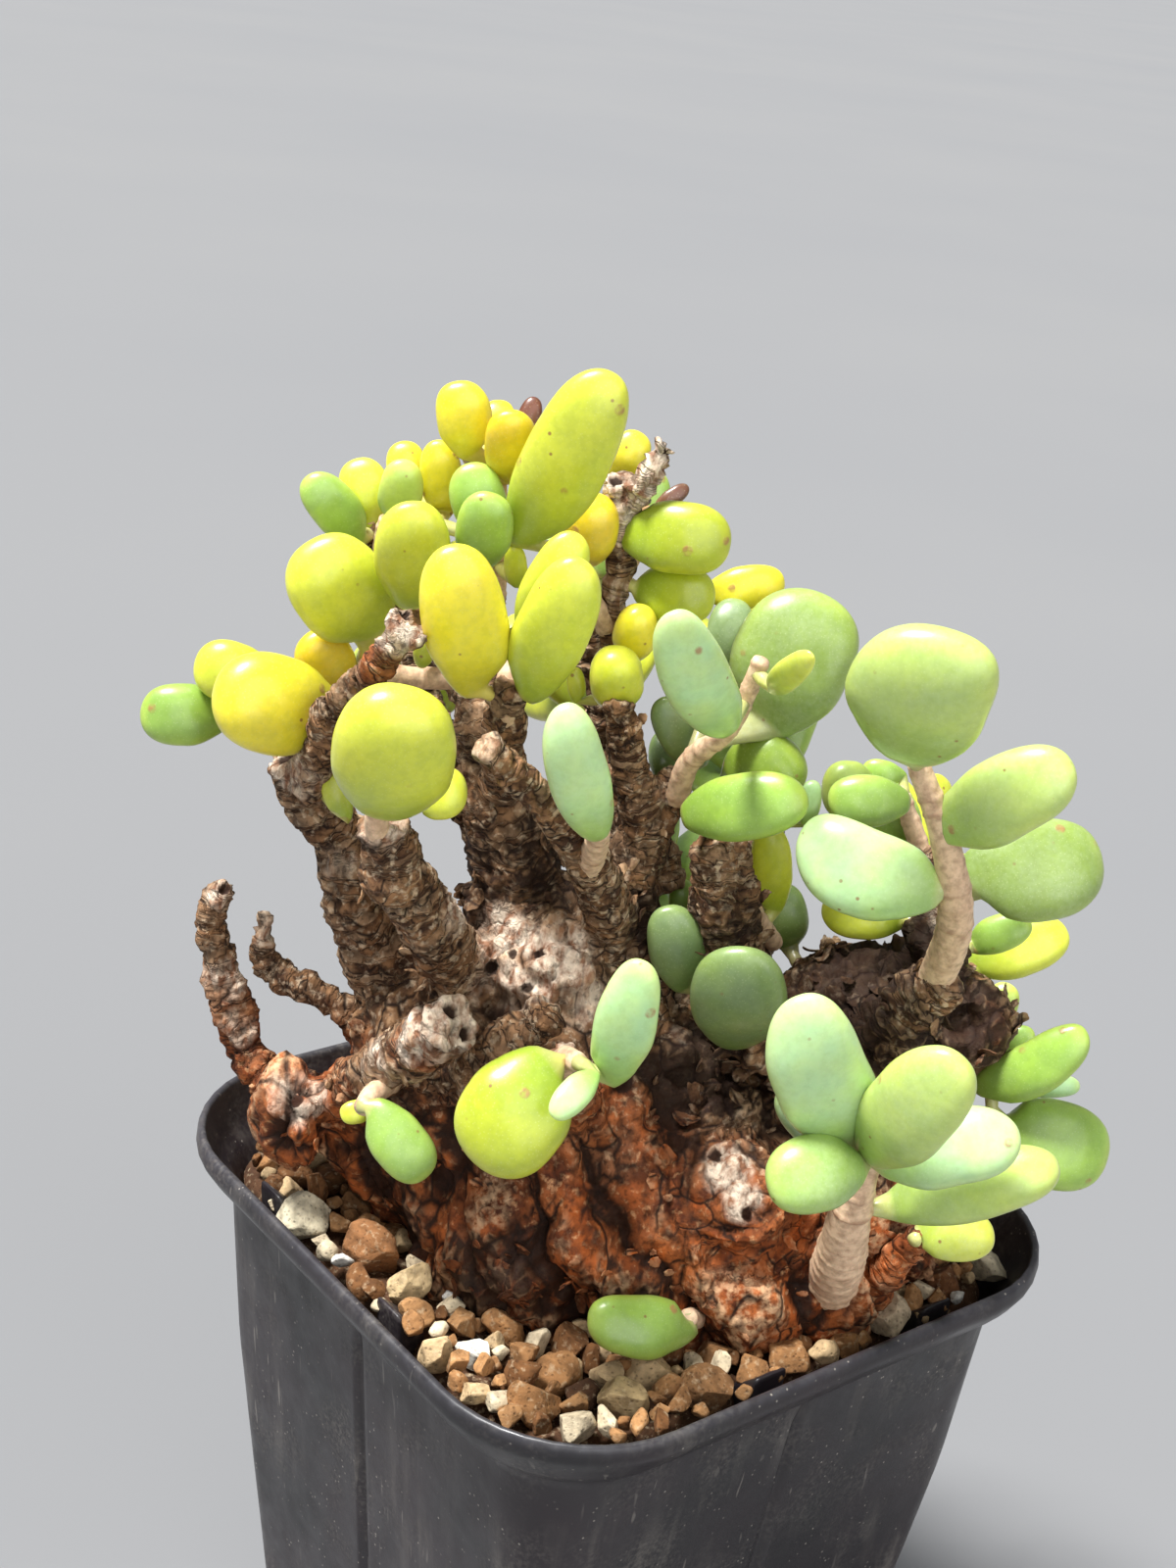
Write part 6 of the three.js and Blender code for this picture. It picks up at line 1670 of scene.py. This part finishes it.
# %% Shoots as pieces
FIRST_STEM_SEED, FIRST_LEAF_SEED = 60, 1000
leaf_skins = {slot: leaf_skin(slot) for slot in BLOOM}
print("leaf skins:", *leaf_skins)
young_stem = stem_skin()
for number, told in enumerate(every_shoot):
    grown = [grown_stem(told, FIRST_STEM_SEED + number)]
    for seed, each in enumerate(told["leaves"], FIRST_LEAF_SEED + 10 * number):
        grown.append(grown_leaf(each, told["stem"], seed))
    points, faces = gathered([body for body, _ in grown])
    stem_faces = len(grown[0][0][1])
    piece = make_piece(told["name"] + "_grown", points, faces, [leaf_skins[told["slot"]], young_stem],
                       face_materials=[1] * stem_faces + [0] * (len(faces) - stem_faces))
    keep_tones(piece, np.clip(np.concatenate([colours for _, colours in grown]), 0, 1))
    stand_for(piece, told["slot"], told["name"])

# %% [markdown]
# ## Floor, light and camera
# The pot stands on a plain pale floor that reaches past the horizon of the picture. The light is
# that of a bright day through thin cloud: one wide soft source, high and a little to the left,
# which gives the leaves their bright tops and leaves the bark's hollows dark, a weak fill from the
# side of the camera, and a dim grey sky.

# %% Floor
FLOOR_HALF = 30 / MM  # thirty metres, so that its edge lies far off
FLOOR_GREY, FLOOR_PATCH, PATCH_WIDTH = (119, 120, 122), (126, 126, 126), 400
floor_finish = Finish("floor")
floor_shade = floor_finish.mix(floor_finish.cloud(PATCH_WIDTH), FLOOR_GREY, FLOOR_PATCH)
floor_look = floor_finish.finished(floor_shade, 0.9)
corners = [(-FLOOR_HALF, -FLOOR_HALF, 0), (FLOOR_HALF, -FLOOR_HALF, 0),
           (FLOOR_HALF, FLOOR_HALF, 0), (-FLOOR_HALF, FLOOR_HALF, 0)]
floor = make_piece("floor", corners, [(0, 1, 2, 3)], [floor_look])
floor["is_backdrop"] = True
print("the floor is", round(2 * FLOOR_HALF * MM), "m wide")

# %% Light
SUNS = {  # where it stands: across, away and up; its strength; how many degrees wide it looks
    "cloudy_sky": ((-0.4, -0.1, 1.0), 7.3, 15),
    "fill": ((0.4, -1.0, 0.45), 1.5, 60),
}
SKY_COLOUR, SKY_STRENGTH = (0.9, 0.94, 1, 1), 0.3
for name, ((across, away, up), strength, spread) in SUNS.items():
    sun = bpy.data.lights.new(name, "SUN")
    sun.angle = math.radians(spread)
    sun.energy = strength
    lamp = bpy.data.objects.new(name, sun)
    towards = Vector((across * LEVEL_RIGHT + away * AWAY + up * UPWARD).tolist())
    lamp.rotation_euler = towards.to_track_quat("Z", "Y").to_euler()
    bpy.context.scene.collection.objects.link(lamp)
world = bpy.data.worlds.new("studio")
world.use_nodes = True
sky = world.node_tree.nodes["Background"].inputs
sky["Color"].default_value = SKY_COLOUR
sky["Strength"].default_value = SKY_STRENGTH
bpy.context.scene.world = world
bpy.context.scene.view_settings.view_transform = "Standard"
print("lights:", *SUNS)

# %% Camera
camera_data = bpy.data.cameras.new("camera")
SENSOR = 36
camera_data.sensor_width = SENSOR
camera_data.lens = FOCAL / PICTURE_HIGH * SENSOR
camera_data.clip_start = 0.01
camera = bpy.data.objects.new("camera", camera_data)
turn = np.eye(4)
turn[:3, 0], turn[:3, 1], turn[:3, 2], turn[:3, 3] = VIEW_RIGHT, VIEW_UP, BACK, EYE * MM
camera.matrix_world = Matrix(turn.tolist())
bpy.context.scene.collection.objects.link(camera)
bpy.context.scene.camera = camera
print("the lens is", round(camera_data.lens, 1), "mm")

# %% [markdown]
# The dressed plant has to be as large as its solids. Both boxes are written down to be compared.

# %% Sizes
dressed_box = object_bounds()
for name, box in (("solid", solid_box), ("dressed", dressed_box)):
    print(name, "box:", [[round(1000 * value, 1) for value in corner] for corner in box])
